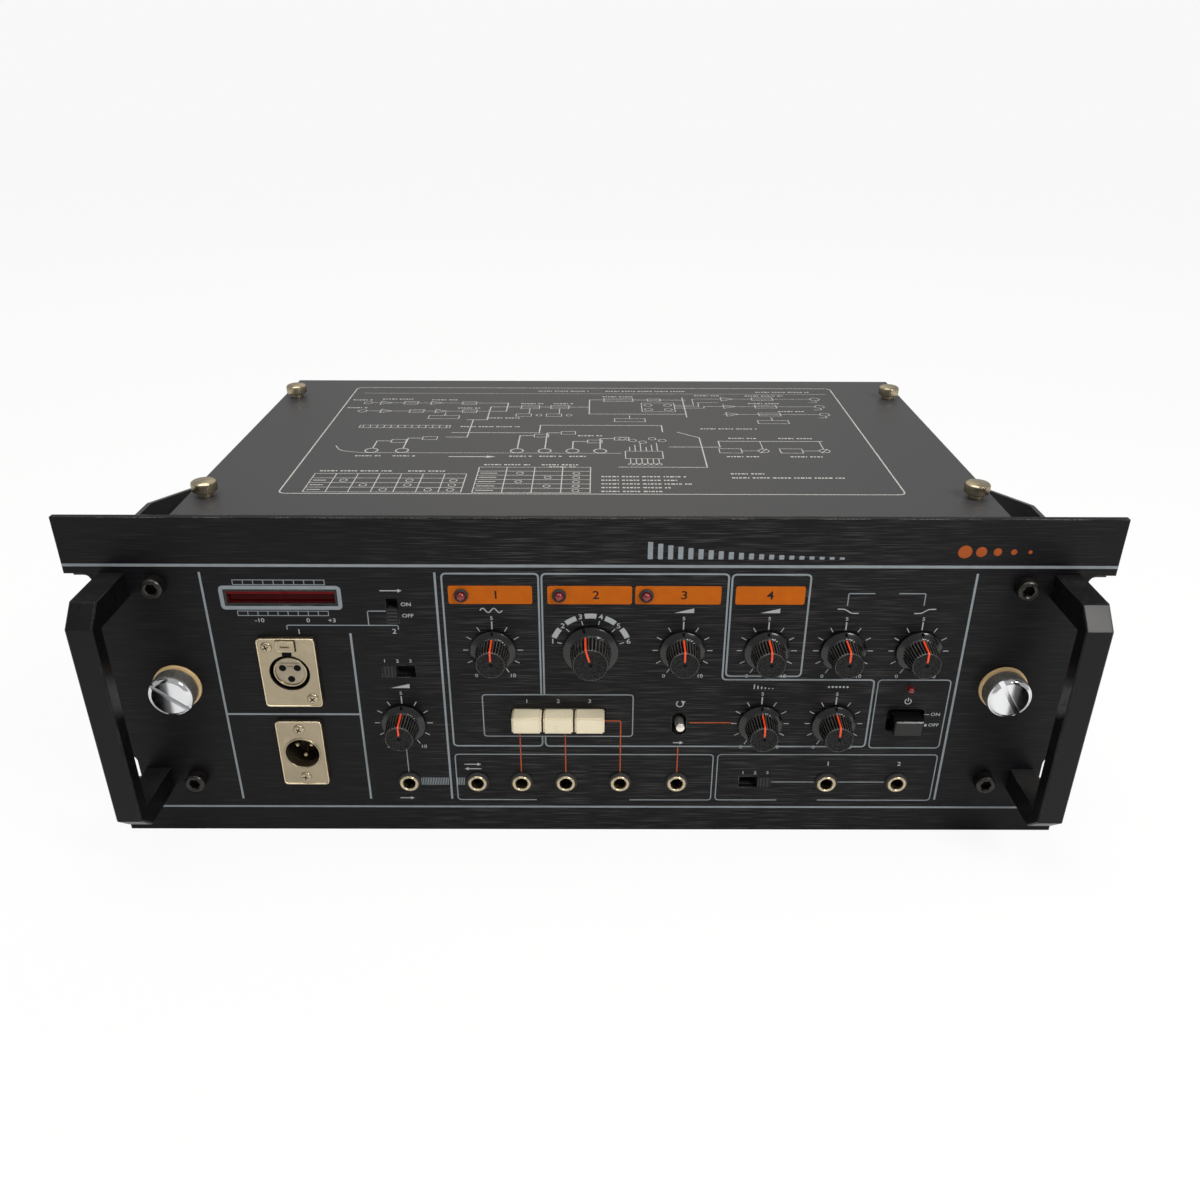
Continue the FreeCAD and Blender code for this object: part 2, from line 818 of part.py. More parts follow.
def make_handle(side, label):
    """A bar bent to a squared bow with cut corners, its feet flat on the panel."""
    body = new_body(label)
    front, cut = -S.handle_reach, S.handle_chamfer
    low, high = MIDDLE - S.handle_height / 2, MIDDLE + S.handle_height / 2
    grip_back = front + S.handle_grip
    bow = closed(
        (0, low), (0, low + S.handle_foot), (grip_back, low + S.handle_foot),
        (grip_back, high - S.handle_foot), (0, high - S.handle_foot), (0, high),
        (front + cut, high), (front, high - cut), (front, low + cut), (front + cut, low),
    )
    near = EAR - S.handle_inset - S.handle_width / 2
    grow_sideways(body, side, near, near + S.handle_width, bow)

    def on_front(edge):
        return not runs_along(edge, "X") and edge.BoundBox.YMax < (front + cut).value + NEAR

    dress(body, "Chamfer", S.handle_edge, on_front)


def make_panel_screws():
    """Socket-head screws that hold the panel on the brackets."""
    one = new_body("panel_screw_one", is_node=False)
    head, shank = S.screw_head_radius, S.screw_shank_radius
    front, end = -S.screw_head_height, S.screw_length - S.screw_head_height
    turn(one, "Y", (
        (ZERO, front), (head, front), (head, ZERO), (shank, ZERO), (shank, end), (ZERO, end),
    ))
    socket = polygon(ZERO, ZERO, S.screw_socket_flats / 2, 6)
    carve(one, "XZ", front, front + S.screw_socket_depth, socket)
    group("panel_screws", [
        copy_of(one, side * SCREW_COLUMN, 0, z) for side in (-1, 1) for z in SCREW_ROWS
    ])


def make_thumbscrew_washers():
    one = new_body("thumbscrew_washer_one", is_node=False)
    bore = S.screw_shank_radius + S.screw_clearance
    grow(one, "XZ", -S.washer_thickness, 0, disc(0, 0, S.washer_radius), disc(0, 0, bore))
    washers = [copy_of(one, side * SCREW_COLUMN, 0, MIDDLE) for side in (-1, 1)]
    group("thumbscrew_washers", washers)


def make_panel_thumbscrew(side, label):
    """A coin-slotted thumbscrew with a knurled head."""
    body = new_body(label)
    seat = -S.washer_thickness - S.seat_gap
    front = seat - S.thumb_head_height
    head = polygon(ZERO, ZERO, S.thumb_head_radius, SIZES["thumb_head_sides"])
    grow(body, "XZ", front, seat, head)
    grow(body, "XZ", seat, FLANGE_BACK + S.boss_length, disc(0, 0, S.screw_shank_radius))
    slot = centred(ZERO, ZERO, (S.thumb_head_radius + S.cut_past) * 2, S.thumb_slot_width)
    pocket = carve(body, "XZ", front, front + S.thumb_slot_depth, slot)
    bind(pocket.Profile[0], "AttachmentOffset.Rotation.Angle", S.thumb_slot_angle)
    place(body, side * SCREW_COLUMN, 0, MIDDLE)


# ---------------------------------------------------------------- case
def make_chassis_tray():
    """One folded sheet: floor, side walls, and a flange in along each wall's top."""
    body = new_body("chassis_tray")
    half, inner, low, top = CHASSIS_HALF, CHASSIS_INNER, S.chassis_low, CHASSIS_TOP
    lip = half - S.chassis_flange
    under = top - S.chassis_sheet
    section = closed(
        (-half, low), (half, low), (half, top), (lip, top), (lip, under), (inner, under),
        (inner, FLOOR), (-inner, FLOOR), (-inner, under), (-lip, under), (-lip, top), (-half, top),
    )
    grow(body, "XZ", CHASSIS_FRONT, REAR_IN, section)
    hole = S.cover_screw_shank_radius + S.screw_clearance
    carve(body, "XY", under, top, *[disc(x, y, hole) for x, y in COVER_SCREWS.values()])


def make_rear_panel():
    body = new_body("rear_panel")
    half = CHASSIS_HALF - S.rear_margin
    grow(body, "XZ", REAR_IN, REAR_OUT, rectangle(-half, half, S.chassis_low, CHASSIS_TOP))
    first = -S.vent_pitch * (S.vent_count - 1) / 2
    slot = centred(first, MIDDLE, S.vent_width, S.vent_height)
    vent = carve(body, "XZ", REAR_IN, REAR_OUT, slot)
    row_pattern(body, vent, "H_Axis", S.vent_pitch, S.vent_count)
    bore = S.gland_radius + S.thread_clearance
    carve(body, "XZ", REAR_IN, REAR_OUT, disc(GLAND_COLUMN, S.gland_row, bore))


def make_mains_gland():
    """The hexagonal gland where the mains cord leaves the rear panel."""
    body = new_body("mains_gland")
    inside, outside = REAR_IN - S.gland_flange, REAR_OUT + S.gland_flange
    grow(body, "XZ", inside, REAR_OUT, disc(0, 0, S.gland_radius))
    grow(body, "XZ", REAR_OUT, outside, polygon(ZERO, ZERO, S.gland_nut_flats / 2, 6))
    carve(body, "XZ", inside, outside, disc(ZERO, ZERO, S.gland_bore_radius))
    place(body, GLAND_COLUMN, 0, S.gland_row)


def make_top_cover():
    """A shallow pan with lips at its sides and back, open towards the panel."""
    body = new_body("top_cover")
    front = BACK + S.cover_front_gap
    under = COVER_TOP - S.cover_sheet
    low = COVER_TOP - S.cover_lip
    grow(body, "XY", low, COVER_TOP, rectangle(-COVER_HALF, COVER_HALF, front, S.case_depth))
    inner = COVER_HALF - S.cover_sheet
    carve(body, "XY", low, under, rectangle(-inner, inner, front, S.case_depth - S.cover_sheet))
    hole = S.cover_screw_shank_radius + S.screw_clearance
    carve(body, "XY", under, COVER_TOP, *[disc(x, y, hole) for x, y in COVER_SCREWS.values()])
    half, rear = COVER_HALF, S.case_depth

    def is_bend(edge):
        if not lies_at(edge, "Z", COVER_TOP):
            return False
        return lies_at(edge, "X", half) or lies_at(edge, "X", -half) or lies_at(edge, "Y", rear)

    dress(body, "Fillet", S.cover_bend, is_bend)


def make_cover_thumbscrews():
    """Four knurled screws that hold the cover on the chassis flanges."""
    one = new_body("cover_thumbscrew_one", is_node=False)
    seat = COVER_TOP + S.seat_gap
    head = polygon(ZERO, ZERO, S.cover_screw_head_radius, SIZES["cover_screw_head_sides"])
    grow(one, "XY", seat, seat + S.cover_screw_head_height, head)
    tip = COVER_TOP - S.cover_screw_length
    grow(one, "XY", tip, seat, disc(0, 0, S.cover_screw_shank_radius))
    for corner, (x, y) in COVER_SCREWS.items():
        group(f"cover_thumbscrew_{corner}", [copy_of(one, x, y, 0)])


# ---------------------------------------------------------------- controls on the panel
def make_knobs():
    """Skirted knobs on their shafts, with a fluted and tapered grip."""

    def knob(label, skirt, waist, crown):
        body = new_body(label, is_node=False)
        back = -S.knob_gap
        rim = back - S.knob_skirt_thickness
        shaft, reach = S.shaft_radius, S.shaft_reach
        turn(body, "Y", (
            (ZERO, rim), (skirt, rim), (skirt, back), (shaft, back), (shaft, reach), (ZERO, reach),
        ))
        depth = S.knob_flute_depth
        loft(body, "XZ", ((rim, fluted(waist, depth)), (-S.knob_height, fluted(crown, depth))))
        return body

    plain = knob("knob_one", S.knob_skirt_radius, S.knob_waist_radius, S.knob_top_radius)
    large = knob("mode_knob_one", S.mode_skirt_radius, S.mode_waist_radius, S.mode_top_radius)
    for label, (x, z) in KNOBS.items():
        group(label, [copy_of(large if label == "knob_mode" else plain, x, 0, z)])


def make_rotary_controls():
    """Nine rotary controls between the panel and the control board, bored for the shafts."""
    one = new_body("rotary_one", is_node=False)
    grow(one, "XZ", BACK, S.board_plane, centred(ZERO, ZERO, S.rotary_width, S.rotary_width))
    end = S.shaft_reach + S.seat_gap
    carve(one, "XZ", BACK, end, disc(ZERO, ZERO, S.shaft_radius + S.shaft_fit))
    group("rotary_controls", [copy_of(one, x, 0, z) for x, z in KNOBS.values()])


def make_level_meter():
    """A red filter in a window of the panel, with its light bar behind it."""
    body = new_body("level_meter")
    clear = S.thread_clearance * 2
    width, height = S.meter_width - clear, S.meter_height - clear
    wide, tall = S.meter_width + S.meter_flange * 2, S.meter_height + S.meter_flange * 2
    grow(body, "XZ", BACK, BACK + S.meter_depth, centred(METER_COLUMN, S.meter_row, wide, tall))
    grow(body, "XZ", S.meter_recess, BACK, centred(METER_COLUMN, S.meter_row, width, height))
    step = S.meter_bar_margin * 2
    carve(
        body, "XZ", S.meter_recess, S.meter_recess + S.meter_bar_depth,
        centred(METER_COLUMN, S.meter_row, width - step, height - step),
    )


def make_lamps():
    """Three lamps in holders and a bare one, all standing on the control board."""
    holder = new_body("lamp_holder_one", is_node=False)
    inner = S.lamp_radius + S.shaft_fit
    outer = S.lamp_radius + S.lamp_holder_wall
    grow(holder, "XZ", -S.lamp_holder_proud, S.lamp_length, disc(0, 0, outer), disc(0, 0, inner))
    group("lamp_holders", [copy_of(holder, x, 0, S.row_lamps) for x in LAMPS])
    held = new_body("lamp_one", is_node=False)
    grow(held, "XZ", -S.lamp_proud, S.board_plane, disc(0, 0, S.lamp_radius))
    bare = new_body("power_lamp_one", is_node=False)
    grow(bare, "XZ", -S.lamp_proud, S.board_plane, disc(0, 0, S.power_lamp_radius))
    lamps = [copy_of(held, x, 0, S.row_lamps) for x in LAMPS]
    group("indicator_lamps", lamps + [copy_of(bare, POWER_COLUMN, 0, S.power_lamp_row)])


def slide_size(slot, travel):
    """How long a slider is, so that it stops at both ends of its slot."""
    return slot - travel - S.slider_gap * 2


def make_slider(label, x, z, width, height, rib_axis):
    """The ribbed cap of a slide switch, standing in its housing through the panel's slot."""
    body = new_body(label)
    rear = BACK + S.slide_recess - S.slider_gap
    grow(body, "XZ", -S.slider_proud, rear, centred(ZERO, ZERO, width, height))
    length = width if rib_axis == "H_Axis" else height
    pitch = length / S.slider_ribs
    groove = pitch / 2
    start = -length / 2 + pitch / 2
    if rib_axis == "H_Axis":
        cut = centred(start, ZERO, groove, height + S.cut_past)
    else:
        cut = centred(ZERO, start, width + S.cut_past, groove)
    rib = carve(body, "XZ", -S.slider_proud, 0, cut)
    row_pattern(body, rib, rib_axis, pitch, S.slider_ribs)
    place(body, x, 0, z)


def make_slide_switches():
    """Three slide switches: housings behind the panel and the caps that slide in them."""
    gap = S.slider_gap

    def housing(label, width, height):
        body = new_body(label, is_node=False)
        wall = S.slide_wall * 2
        outer = centred(ZERO, ZERO, width + wall, height + wall)
        grow(body, "XZ", BACK, S.board_plane, outer)
        carve(body, "XZ", BACK, BACK + S.slide_recess, centred(ZERO, ZERO, width, height))
        return body

    direct = housing("direct_housing_one", S.direct_slot_width, S.direct_slot_height)
    level = housing("level_housing_one", S.level_slot_width, S.level_slot_height)
    pieces = [copy_of(direct, INPUT_COLUMN, 0, S.direct_row)]
    pieces += [copy_of(level, x, 0, z) for x, z in LEVEL_SLIDES.values()]
    group("slide_switches", pieces)
    width = S.direct_slot_width - gap * 2
    height = slide_size(S.direct_slot_height, S.direct_travel)
    make_slider(
        "direct_slider", INPUT_COLUMN, S.direct_row - S.direct_travel / 2, width, height, "V_Axis"
    )
    width = slide_size(S.level_slot_width, S.level_travel)
    height = S.level_slot_height - gap * 2
    x, z = LEVEL_SLIDES["input"]
    make_slider("input_level_slider", x - S.level_travel / 2, z, width, height, "H_Axis")
    x, z = LEVEL_SLIDES["output"]
    make_slider("output_level_slider", x + S.level_travel / 2, z, width, height, "H_Axis")


def make_buttons():
    """Three effect buttons and the power button, each on a square stem."""

    def button(label, width, height, proud):
        body = new_body(label, is_node=False)
        grow(body, "XZ", -proud, S.button_rear, centred(ZERO, ZERO, width, height))
        face = -proud.value + NEAR
        dress(body, "Chamfer", S.button_edge, lambda edge: edge.BoundBox.YMax < face)
        stem = centred(ZERO, ZERO, S.stem_width, S.stem_width)
        grow(body, "XZ", S.button_rear, S.button_rear + S.stem_length, stem)
        return body

    effect = button("button_one", S.button_width, S.button_height, S.button_proud)
    for number, x in enumerate(BUTTONS, start=1):
        group(f"effect_button_{number}", [copy_of(effect, x, 0, S.button_row)])
    power = button("power_button_one", S.power_width, S.power_height, S.power_proud)
    group("power_button", [copy_of(power, POWER_COLUMN, 0, S.power_row)])


def make_push_switches():
    """The switches behind the buttons, each with a well for the button's stem."""

    def housing(label, width, height, travel):
        body = new_body(label, is_node=False)
        front = S.button_rear + travel + S.button_gap
        grow(body, "XZ", front, S.board_plane, centred(ZERO, ZERO, width, height))
        bore = S.stem_width + S.stem_fit * 2
        carve(body, "XZ", front, S.board_plane - S.seat_gap, centred(ZERO, ZERO, bore, bore))
        return body

    effect = housing("effect_switch_one", S.button_width, S.button_height, S.button_travel)
    power = housing("power_switch_one", S.power_width, S.power_height, S.power_travel)
    pieces = [copy_of(effect, x, 0, S.button_row) for x in BUTTONS]
    group("push_switches", pieces + [copy_of(power, POWER_COLUMN, 0, S.power_row)])


def make_toggle():
    """A two-way toggle: its lever turns on a cross pin in the housing."""
    housing = new_body("toggle_switch")
    x, z = VOLUME_COLUMN, S.toggle_row
    width, height = S.toggle_housing_width, S.toggle_housing_height
    grow(housing, "XZ", BACK, S.board_plane, centred(x, z, width, height))
    floor = S.toggle_pivot + S.toggle_tail + S.button_gap
    carve(housing, "XZ", BACK, floor, centred(x, z, S.toggle_slot_width, S.toggle_slot_height))
    half = width / 2
    pivot_bore = disc(S.toggle_pivot, z, S.toggle_pin_radius + S.shaft_fit)
    carve(housing, "YZ", x - half, x + half, pivot_bore)

    lever = new_body("toggle_lever")
    tip = -S.toggle_proud - S.toggle_pivot
    grow(lever, "XZ", tip, S.toggle_tail, disc(ZERO, ZERO, S.toggle_lever_radius))
    reach = half - S.slider_gap
    grow(lever, "YZ", -reach, reach, disc(ZERO, ZERO, S.toggle_pin_radius))
    place(lever, x, S.toggle_pivot, z)
    lever.Placement.Rotation = FreeCAD.Rotation(FreeCAD.Vector(-1, 0, 0), 1)
    bind(lever, "Placement.Rotation.Angle", S.toggle_tilt)


def make_jacks():
    """Eight sockets: a moulded body behind the panel and a metal ferrule through it."""
    one = new_body("jack_body_one", is_node=False)
    width = S.jack_body_width
    grow(one, "XZ", BACK, BACK + S.jack_body_depth, centred(ZERO, ZERO, width, width))
    carve(one, "XZ", BACK, S.jack_bore_depth, disc(ZERO, ZERO, S.jack_bore_radius))
    group("jack_bodies", [copy_of(one, x, 0, S.row_jacks) for x in JACKS])
    ferrule = new_body("jack_ferrule_one", is_node=False)
    outer, bore = disc(0, 0, S.jack_ferrule_radius), disc(0, 0, S.jack_bore_radius)
    grow(ferrule, "XZ", -S.jack_ferrule_proud, BACK, outer, bore)
    group("jack_ferrules", [copy_of(ferrule, x, 0, S.row_jacks) for x in JACKS])


# ---------------------------------------------------------------- three-pole connectors
def make_input_connector():
    """The female connector: flange and barrel, with a push latch above the mouth."""
    shell = new_body("input_connector_shell")
    flange = -S.connector_flange
    width, height, corner = S.input_width, S.input_height, S.connector_corner
    grow(shell, "XZ", flange, 0, rounded(ZERO, ZERO, width, height, corner))
    grow(shell, "XZ", 0, S.input_depth, disc(0, 0, S.input_barrel_radius))
    mouth_end = S.input_mouth_depth
    carve(shell, "XZ", flange, mouth_end, disc(ZERO, ZERO, S.input_mouth_radius))
    gap = S.latch_gap * 2
    slot = centred(ZERO, S.latch_row, S.latch_width + gap, S.latch_height + gap)
    carve(shell, "XZ", flange, 0, slot)
    place(shell, CONNECTOR_COLUMN, 0, S.input_row)

    insert = new_body("input_connector_insert")
    front = flange + S.input_insert_proud
    grow(insert, "XZ", front, mouth_end, disc(0, 0, S.input_insert_radius))
    contacts = [disc(x, z, S.contact_radius) for x, z in CONTACTS]
    carve(insert, "XZ", front, front + S.contact_depth, *contacts)
    place(insert, CONNECTOR_COLUMN, 0, S.input_row)

    latch = new_body("input_connector_latch")
    start = flange - S.latch_proud
    grow(latch, "XZ", start, S.latch_rear, centred(ZERO, ZERO, S.latch_width, S.latch_height))
    groove = centred(ZERO, ZERO, S.latch_width / 2, S.latch_groove)
    carve(latch, "XZ", start, start + S.latch_proud / 2, groove)
    place(latch, CONNECTOR_COLUMN, 0, S.input_row + S.latch_row)


def make_output_connector():
    """The male connector: flange and cup, with three pins standing in the cup."""
    shell = new_body("output_connector_shell")
    flange = -S.connector_flange
    width, height, corner = S.output_width, S.output_height, S.connector_corner
    grow(shell, "XZ", flange, 0, rounded(ZERO, ZERO, width, height, corner))
    grow(shell, "XZ", 0, S.output_depth, disc(0, 0, S.output_barrel_radius))
    carve(shell, "XZ", flange, S.output_cup_depth, disc(ZERO, ZERO, S.output_cup_radius))
    place(shell, CONNECTOR_COLUMN, 0, S.output_row)
    one = new_body("output_pin_one", is_node=False)
    root = S.output_cup_depth
    grow(one, "XZ", root - S.pin_length, root, disc(0, 0, S.pin_radius))
    group("output_connector_pins", [
        copy_of(one, CONNECTOR_COLUMN + x, 0, S.output_row + z) for x, z in CONTACTS
    ])


def make_connector_screws():
    one = new_body("connector_screw_one", is_node=False)
    front = -S.connector_flange - S.connector_screw_height
    grow(one, "XZ", front, -S.connector_flange, disc(0, 0, S.connector_screw_radius))
    offset, side = S.connector_screw_offset, S.connector_screw_side
    places = (
        (-side, S.input_row + offset), (side, S.input_row - offset),
        (ZERO, S.output_row + offset), (ZERO, S.output_row - offset),
    )
    group("connector_screws", [copy_of(one, CONNECTOR_COLUMN + x, 0, z) for x, z in places])


# ---------------------------------------------------------------- tape transport
GUIDE_COLUMN = CHASSIS_HALF - S.tape_guide_side_gap
CAPSTAN_COLUMN = GUIDE_COLUMN - S.capstan_guide_gap
ARM_PIVOT_COLUMN = CAPSTAN_COLUMN - S.arm_run
DECK_REAR = S.case_depth - S.deck_rear_gap
TANK_LEFT = -(CHASSIS_HALF - S.tank_side_gap)
TANK_RIGHT = CAPSTAN_COLUMN - S.tank_capstan_gap
TANK_REAR = DECK_REAR - S.tank_rear_gap
TAPE_RETURN = TANK_REAR - S.tape_return_gap
TAPE_LOW = S.deck_top + S.tape_lift
TAPE_HALF = S.tape_thickness / 2
CAPSTAN_LINE = S.tape_line - TAPE_HALF - S.rolling_gap - S.capstan_radius
ROLLER_LINE = S.tape_line + TAPE_HALF + S.rolling_gap + S.roller_radius
GUIDE_BEND = S.guide_radius + TAPE_HALF + S.thread_clearance


def guide_centre(line, inward):
    """Where a guide post stands so that the tape wraps round it."""
    return (GUIDE_COLUMN - GUIDE_BEND, line + inward * GUIDE_BEND)


def make_transport_deck():
    """The deck over the works, with the tape tank's rim, two tape guides and a pivot post."""
    body = new_body("transport_deck")
    half = CHASSIS_INNER
    plate_low = S.deck_top - S.deck_sheet
    fold = S.deck_top - S.deck_flange
    inner = half - S.deck_sheet
    section = closed(
        (-half, fold), (-inner, fold), (-inner, plate_low), (inner, plate_low), (inner, fold),
        (half, fold), (half, S.deck_top), (-half, S.deck_top),
    )
    grow(body, "XZ", S.deck_front, DECK_REAR, section)
    rim = S.tank_wall
    rim_top = S.deck_top + S.tank_height
    grow(
        body, "XY", S.deck_top, rim_top,
        rectangle(TANK_LEFT, TANK_RIGHT, S.tank_front, TANK_REAR),
        rectangle(TANK_LEFT + rim, TANK_RIGHT - rim, S.tank_front + rim, TANK_REAR - rim),
    )
    mouth_front, mouth_rear = S.tank_front + S.tank_mouth_margin, TANK_REAR - S.tank_mouth_margin
    mouth = rectangle(TANK_RIGHT - rim, TANK_RIGHT, mouth_front, mouth_rear)
    carve(body, "XY", S.deck_top, rim_top, mouth)
    guide_top = TAPE_LOW + S.tape_width + S.guide_rise
    guides = [disc(*guide_centre(S.tape_line, 1), S.guide_radius)]
    guides.append(disc(*guide_centre(TAPE_RETURN, -1), S.guide_radius))
    grow(body, "XY", S.deck_top, guide_top, *guides)
    pivot_top = S.deck_top + S.arm_lift + S.arm_thickness + S.arm_lift
    pivot = disc(ARM_PIVOT_COLUMN, S.arm_pivot_line, S.arm_pivot_radius)
    grow(body, "XY", S.deck_top, pivot_top, pivot)
    hole = S.capstan_radius + S.capstan_clearance
    carve(body, "XY", plate_low, S.deck_top, disc(CAPSTAN_COLUMN, CAPSTAN_LINE, hole))


def make_tape_heads():
    """Erase, record and playback heads in a row, their round noses towards the tape."""
    one = new_body("tape_head_one", is_node=False)
    nose = S.tape_line + TAPE_HALF + S.thread_clearance
    half, back = S.head_width / 2, nose + S.head_depth
    shoulder, tip = nose + S.head_nose, half * S.head_nose_share
    grow(one, "XY", S.deck_top, S.deck_top + S.head_height, closed(
        (-half, shoulder), (-tip, nose), (tip, nose), (half, shoulder),
        (half, back), (-half, back),
    ))
    first = CAPSTAN_COLUMN + S.head_capstan_gap
    heads = [copy_of(one, first + i * S.head_pitch) for i in range(SIZES["head_count"])]
    group("tape_heads", heads)


def tape_route():
    """The loop's centre line as corners: (x, y, bend radius)."""
    bend = GUIDE_BEND.value
    fold = S.tape_fold_pitch.value / 2
    left = (TANK_LEFT + S.tape_fold_left_gap).value
    right = (TANK_RIGHT - S.tape_fold_right_gap).value
    line, back = S.tape_line.value, TAPE_RETURN.value
    guide = GUIDE_COLUMN.value
    corners = [(guide, line, bend), (guide, back, bend)]
    folds = int((back - line) // (2 * fold))
    folds -= 1 - folds % 2
    step = (back - line) / folds
    for i in range(folds):
        side = left if i % 2 == 0 else right
        y = back - i * step
        corners.append((side, y, step / 2))
        corners.append((side, y - step, step / 2))
    return corners


def tape_edge(corners, shift):
    """One face of the tape as a wire: the route moved sideways by shift."""
    arcs = []
    for i, (corner, bend) in enumerate(corners):
        to_last = (corners[i - 1][0] - corner).normalize()
        to_next = (corners[(i + 1) % len(corners)][0] - corner).normalize()
        middle = (to_last + to_next).normalize()
        half_angle = to_last.getAngle(to_next) / 2
        hub = corner + middle * (bend / math.sin(half_angle))
        turn_side = 1 if to_next.cross(to_last).z > 0 else -1
        scale = (bend - turn_side * shift) / bend
        reach = bend / math.tan(half_angle)
        ends = (corner + to_last * reach, hub - middle * bend, corner + to_next * reach)
        arcs.append([hub + (point - hub) * scale for point in ends])
    edges = []
    for i, (start, crown, end) in enumerate(arcs):
        edges.append(Part.Arc(start, crown, end).toShape())
        following = arcs[(i + 1) % len(arcs)][0]
        if (following - end).Length > NEAR:
            edges.append(Part.LineSegment(end, following).toShape())
    return Part.Wire(edges)


def make_tape_loop():
    """The endless tape on edge: round both guides, past the heads, and folded in the tank."""
    corners = [(FreeCAD.Vector(x, y, TAPE_LOW.value), bend) for x, y, bend in tape_route()]
    outside = Part.Face(tape_edge(corners, -TAPE_HALF.value))
    inside = Part.Face(tape_edge(corners, TAPE_HALF.value))
    loop = doc.addObject("Part::Feature", "tape_loop")
    loop.Label = "tape_loop"
    strip = outside.cut(inside).Faces[0]
    loop.Shape = strip.extrude(FreeCAD.Vector(0, 0, S.tape_width.value))
    loop.Placement = FreeCAD.Placement()
    NODES["tape_loop"] = loop


MOTOR_TOP = S.deck_top - S.deck_sheet - S.motor_plate_drop
FLYWHEEL_TOP = S.deck_top - S.deck_sheet - S.flywheel_drop


def make_capstan():
    """The capstan and its flywheel in one turned piece, standing in the motor's bearing."""
    body = new_body("capstan")
    low = MOTOR_TOP - S.motor_plate - S.capstan_seat
    under = FLYWHEEL_TOP - S.flywheel_thickness
    radius, wheel = S.capstan_radius, S.flywheel_radius
    top = S.deck_top + S.capstan_rise
    turn(body, "Z", (
        (ZERO, low), (radius, low), (radius, under), (wheel, under), (wheel, FLYWHEEL_TOP),
        (radius, FLYWHEEL_TOP), (radius, top), (ZERO, top),
    ))
    place(body, CAPSTAN_COLUMN, CAPSTAN_LINE, 0)


def make_drive_motor():
    """The motor under its plate, hung from the deck on four hexagonal pillars."""
    body = new_body("drive_motor")
    low = MOTOR_TOP - S.motor_plate
    half = S.motor_plate_half
    grow(body, "XY", low, MOTOR_TOP, rectangle(-half, half, -half, half))
    grow(body, "XY", low - S.motor_height, low, disc(0, 0, S.motor_radius))
    inset = half - S.motor_post_inset
    flats = S.motor_post_flats / 2
    pillars = [polygon(a * inset, b * inset, flats, 6) for a in (-1, 1) for b in (-1, 1)]
    grow(body, "XY", MOTOR_TOP, S.deck_top - S.deck_sheet, *pillars)
    bearing = S.capstan_radius + S.shaft_fit
    floor = low - S.capstan_seat - S.seat_gap
    carve(body, "XY", floor, MOTOR_TOP, disc(ZERO, ZERO, bearing))
    place(body, CAPSTAN_COLUMN, CAPSTAN_LINE, 0)


def make_pinch_roller():
    """The rubber roller that presses the tape on the capstan, and the arm that carries it."""
    arm = new_body("pinch_arm")
    low = S.deck_top + S.arm_lift
    high = low + S.arm_thickness
    run_x = CAPSTAN_COLUMN - ARM_PIVOT_COLUMN
    run_y = ROLLER_LINE - S.arm_pivot_line
    length = math.hypot(run_x.value, run_y.value)
    half = S.arm_width / 2
    across = (half * (-run_y.value / length), half * (run_x.value / length))
    grow(arm, "XY", low, high, closed(
        (-across[0], -across[1]), (run_x - across[0], run_y - across[1]),
        (run_x + across[0], run_y + across[1]), across,
    ))
    for x, y in ((ZERO, ZERO), (run_x, run_y)):
        grow(arm, "XY", low, high, disc(x, y, half))
    roller_low = high + S.slider_gap
    roller_top = roller_low + S.roller_height
    grow(arm, "XY", high, roller_top, disc(run_x, run_y, S.roller_pin_radius))
    carve(arm, "XY", low, high, disc(ZERO, ZERO, S.arm_pivot_radius + S.shaft_fit))
    place(arm, ARM_PIVOT_COLUMN, S.arm_pivot_line, 0)

    roller = new_body("pinch_roller")
    bore = S.roller_pin_radius + S.shaft_fit
    grow(roller, "XY", roller_low, roller_top, disc(0, 0, S.roller_radius), disc(0, 0, bore))
    place(roller, CAPSTAN_COLUMN, ROLLER_LINE, 0)


# ---------------------------------------------------------------- pieces on the floor
REVERB_REAR = S.case_depth - S.reverb_rear_gap
REVERB_FRONT = REVERB_REAR - S.reverb_depth


def make_circuit_boards():
    """The control board behind the panel, and the main board on its pillars."""
    control = new_body("control_board_one", is_node=False)
    back = S.board_plane + S.board_thickness
    right = CHASSIS_HALF - S.board_side_gap
    outline = rectangle(spread(S.board_left), right, S.board_low, S.board_high)
    grow(control, "XZ", S.board_plane, back, outline)
    main = new_body("main_board_one", is_node=False)
    low = FLOOR + S.main_board_lift
    high = low + S.board_thickness
    left, front = S.main_board_left, S.main_board_front
    right, rear = left + S.main_board_width, REVERB_FRONT - S.main_board_rear_gap
    grow(main, "XY", low, high, rectangle(left, right, front, rear))
    inset, flats = S.standoff_inset, S.standoff_flats / 2
    pillars = [
        polygon(x, y, flats, 6)
        for x in (left + inset, right - inset) for y in (front + inset, rear - inset)
    ]
    grow(main, "XY", FLOOR, low, *pillars)
    first = disc(left + S.capacitor_pitch, rear - S.capacitor_pitch, S.capacitor_radius)
    capacitor = grow(main, "XY", high, high + S.capacitor_height, first)
    row_pattern(main, capacitor, "H_Axis", S.capacitor_pitch, S.capacitor_count)
    group("circuit_boards", [control, main])


def make_power_transformer():
    """A laminated core with its coil front and back, on two folded feet."""
    body = new_body("power_transformer")
    right, rear = CHASSIS_HALF - S.transformer_side_gap, S.case_depth - S.transformer_rear_gap
    left, front = right - S.transformer_width, rear - S.transformer_depth
    coil = S.transformer_coil
    high = FLOOR + S.transformer_height
    thick = S.transformer_foot_thickness
    grow(body, "XY", FLOOR, high, rectangle(left, right, front + coil, rear - coil))
    grow(
        body, "XY", FLOOR + coil, high - coil,
        rectangle(left + coil, right - coil, front, rear),
    )
    grow(
        body, "XY", FLOOR, FLOOR + thick,
        rectangle(left - S.transformer_foot, right + S.transformer_foot, front + coil, rear - coil),
    )


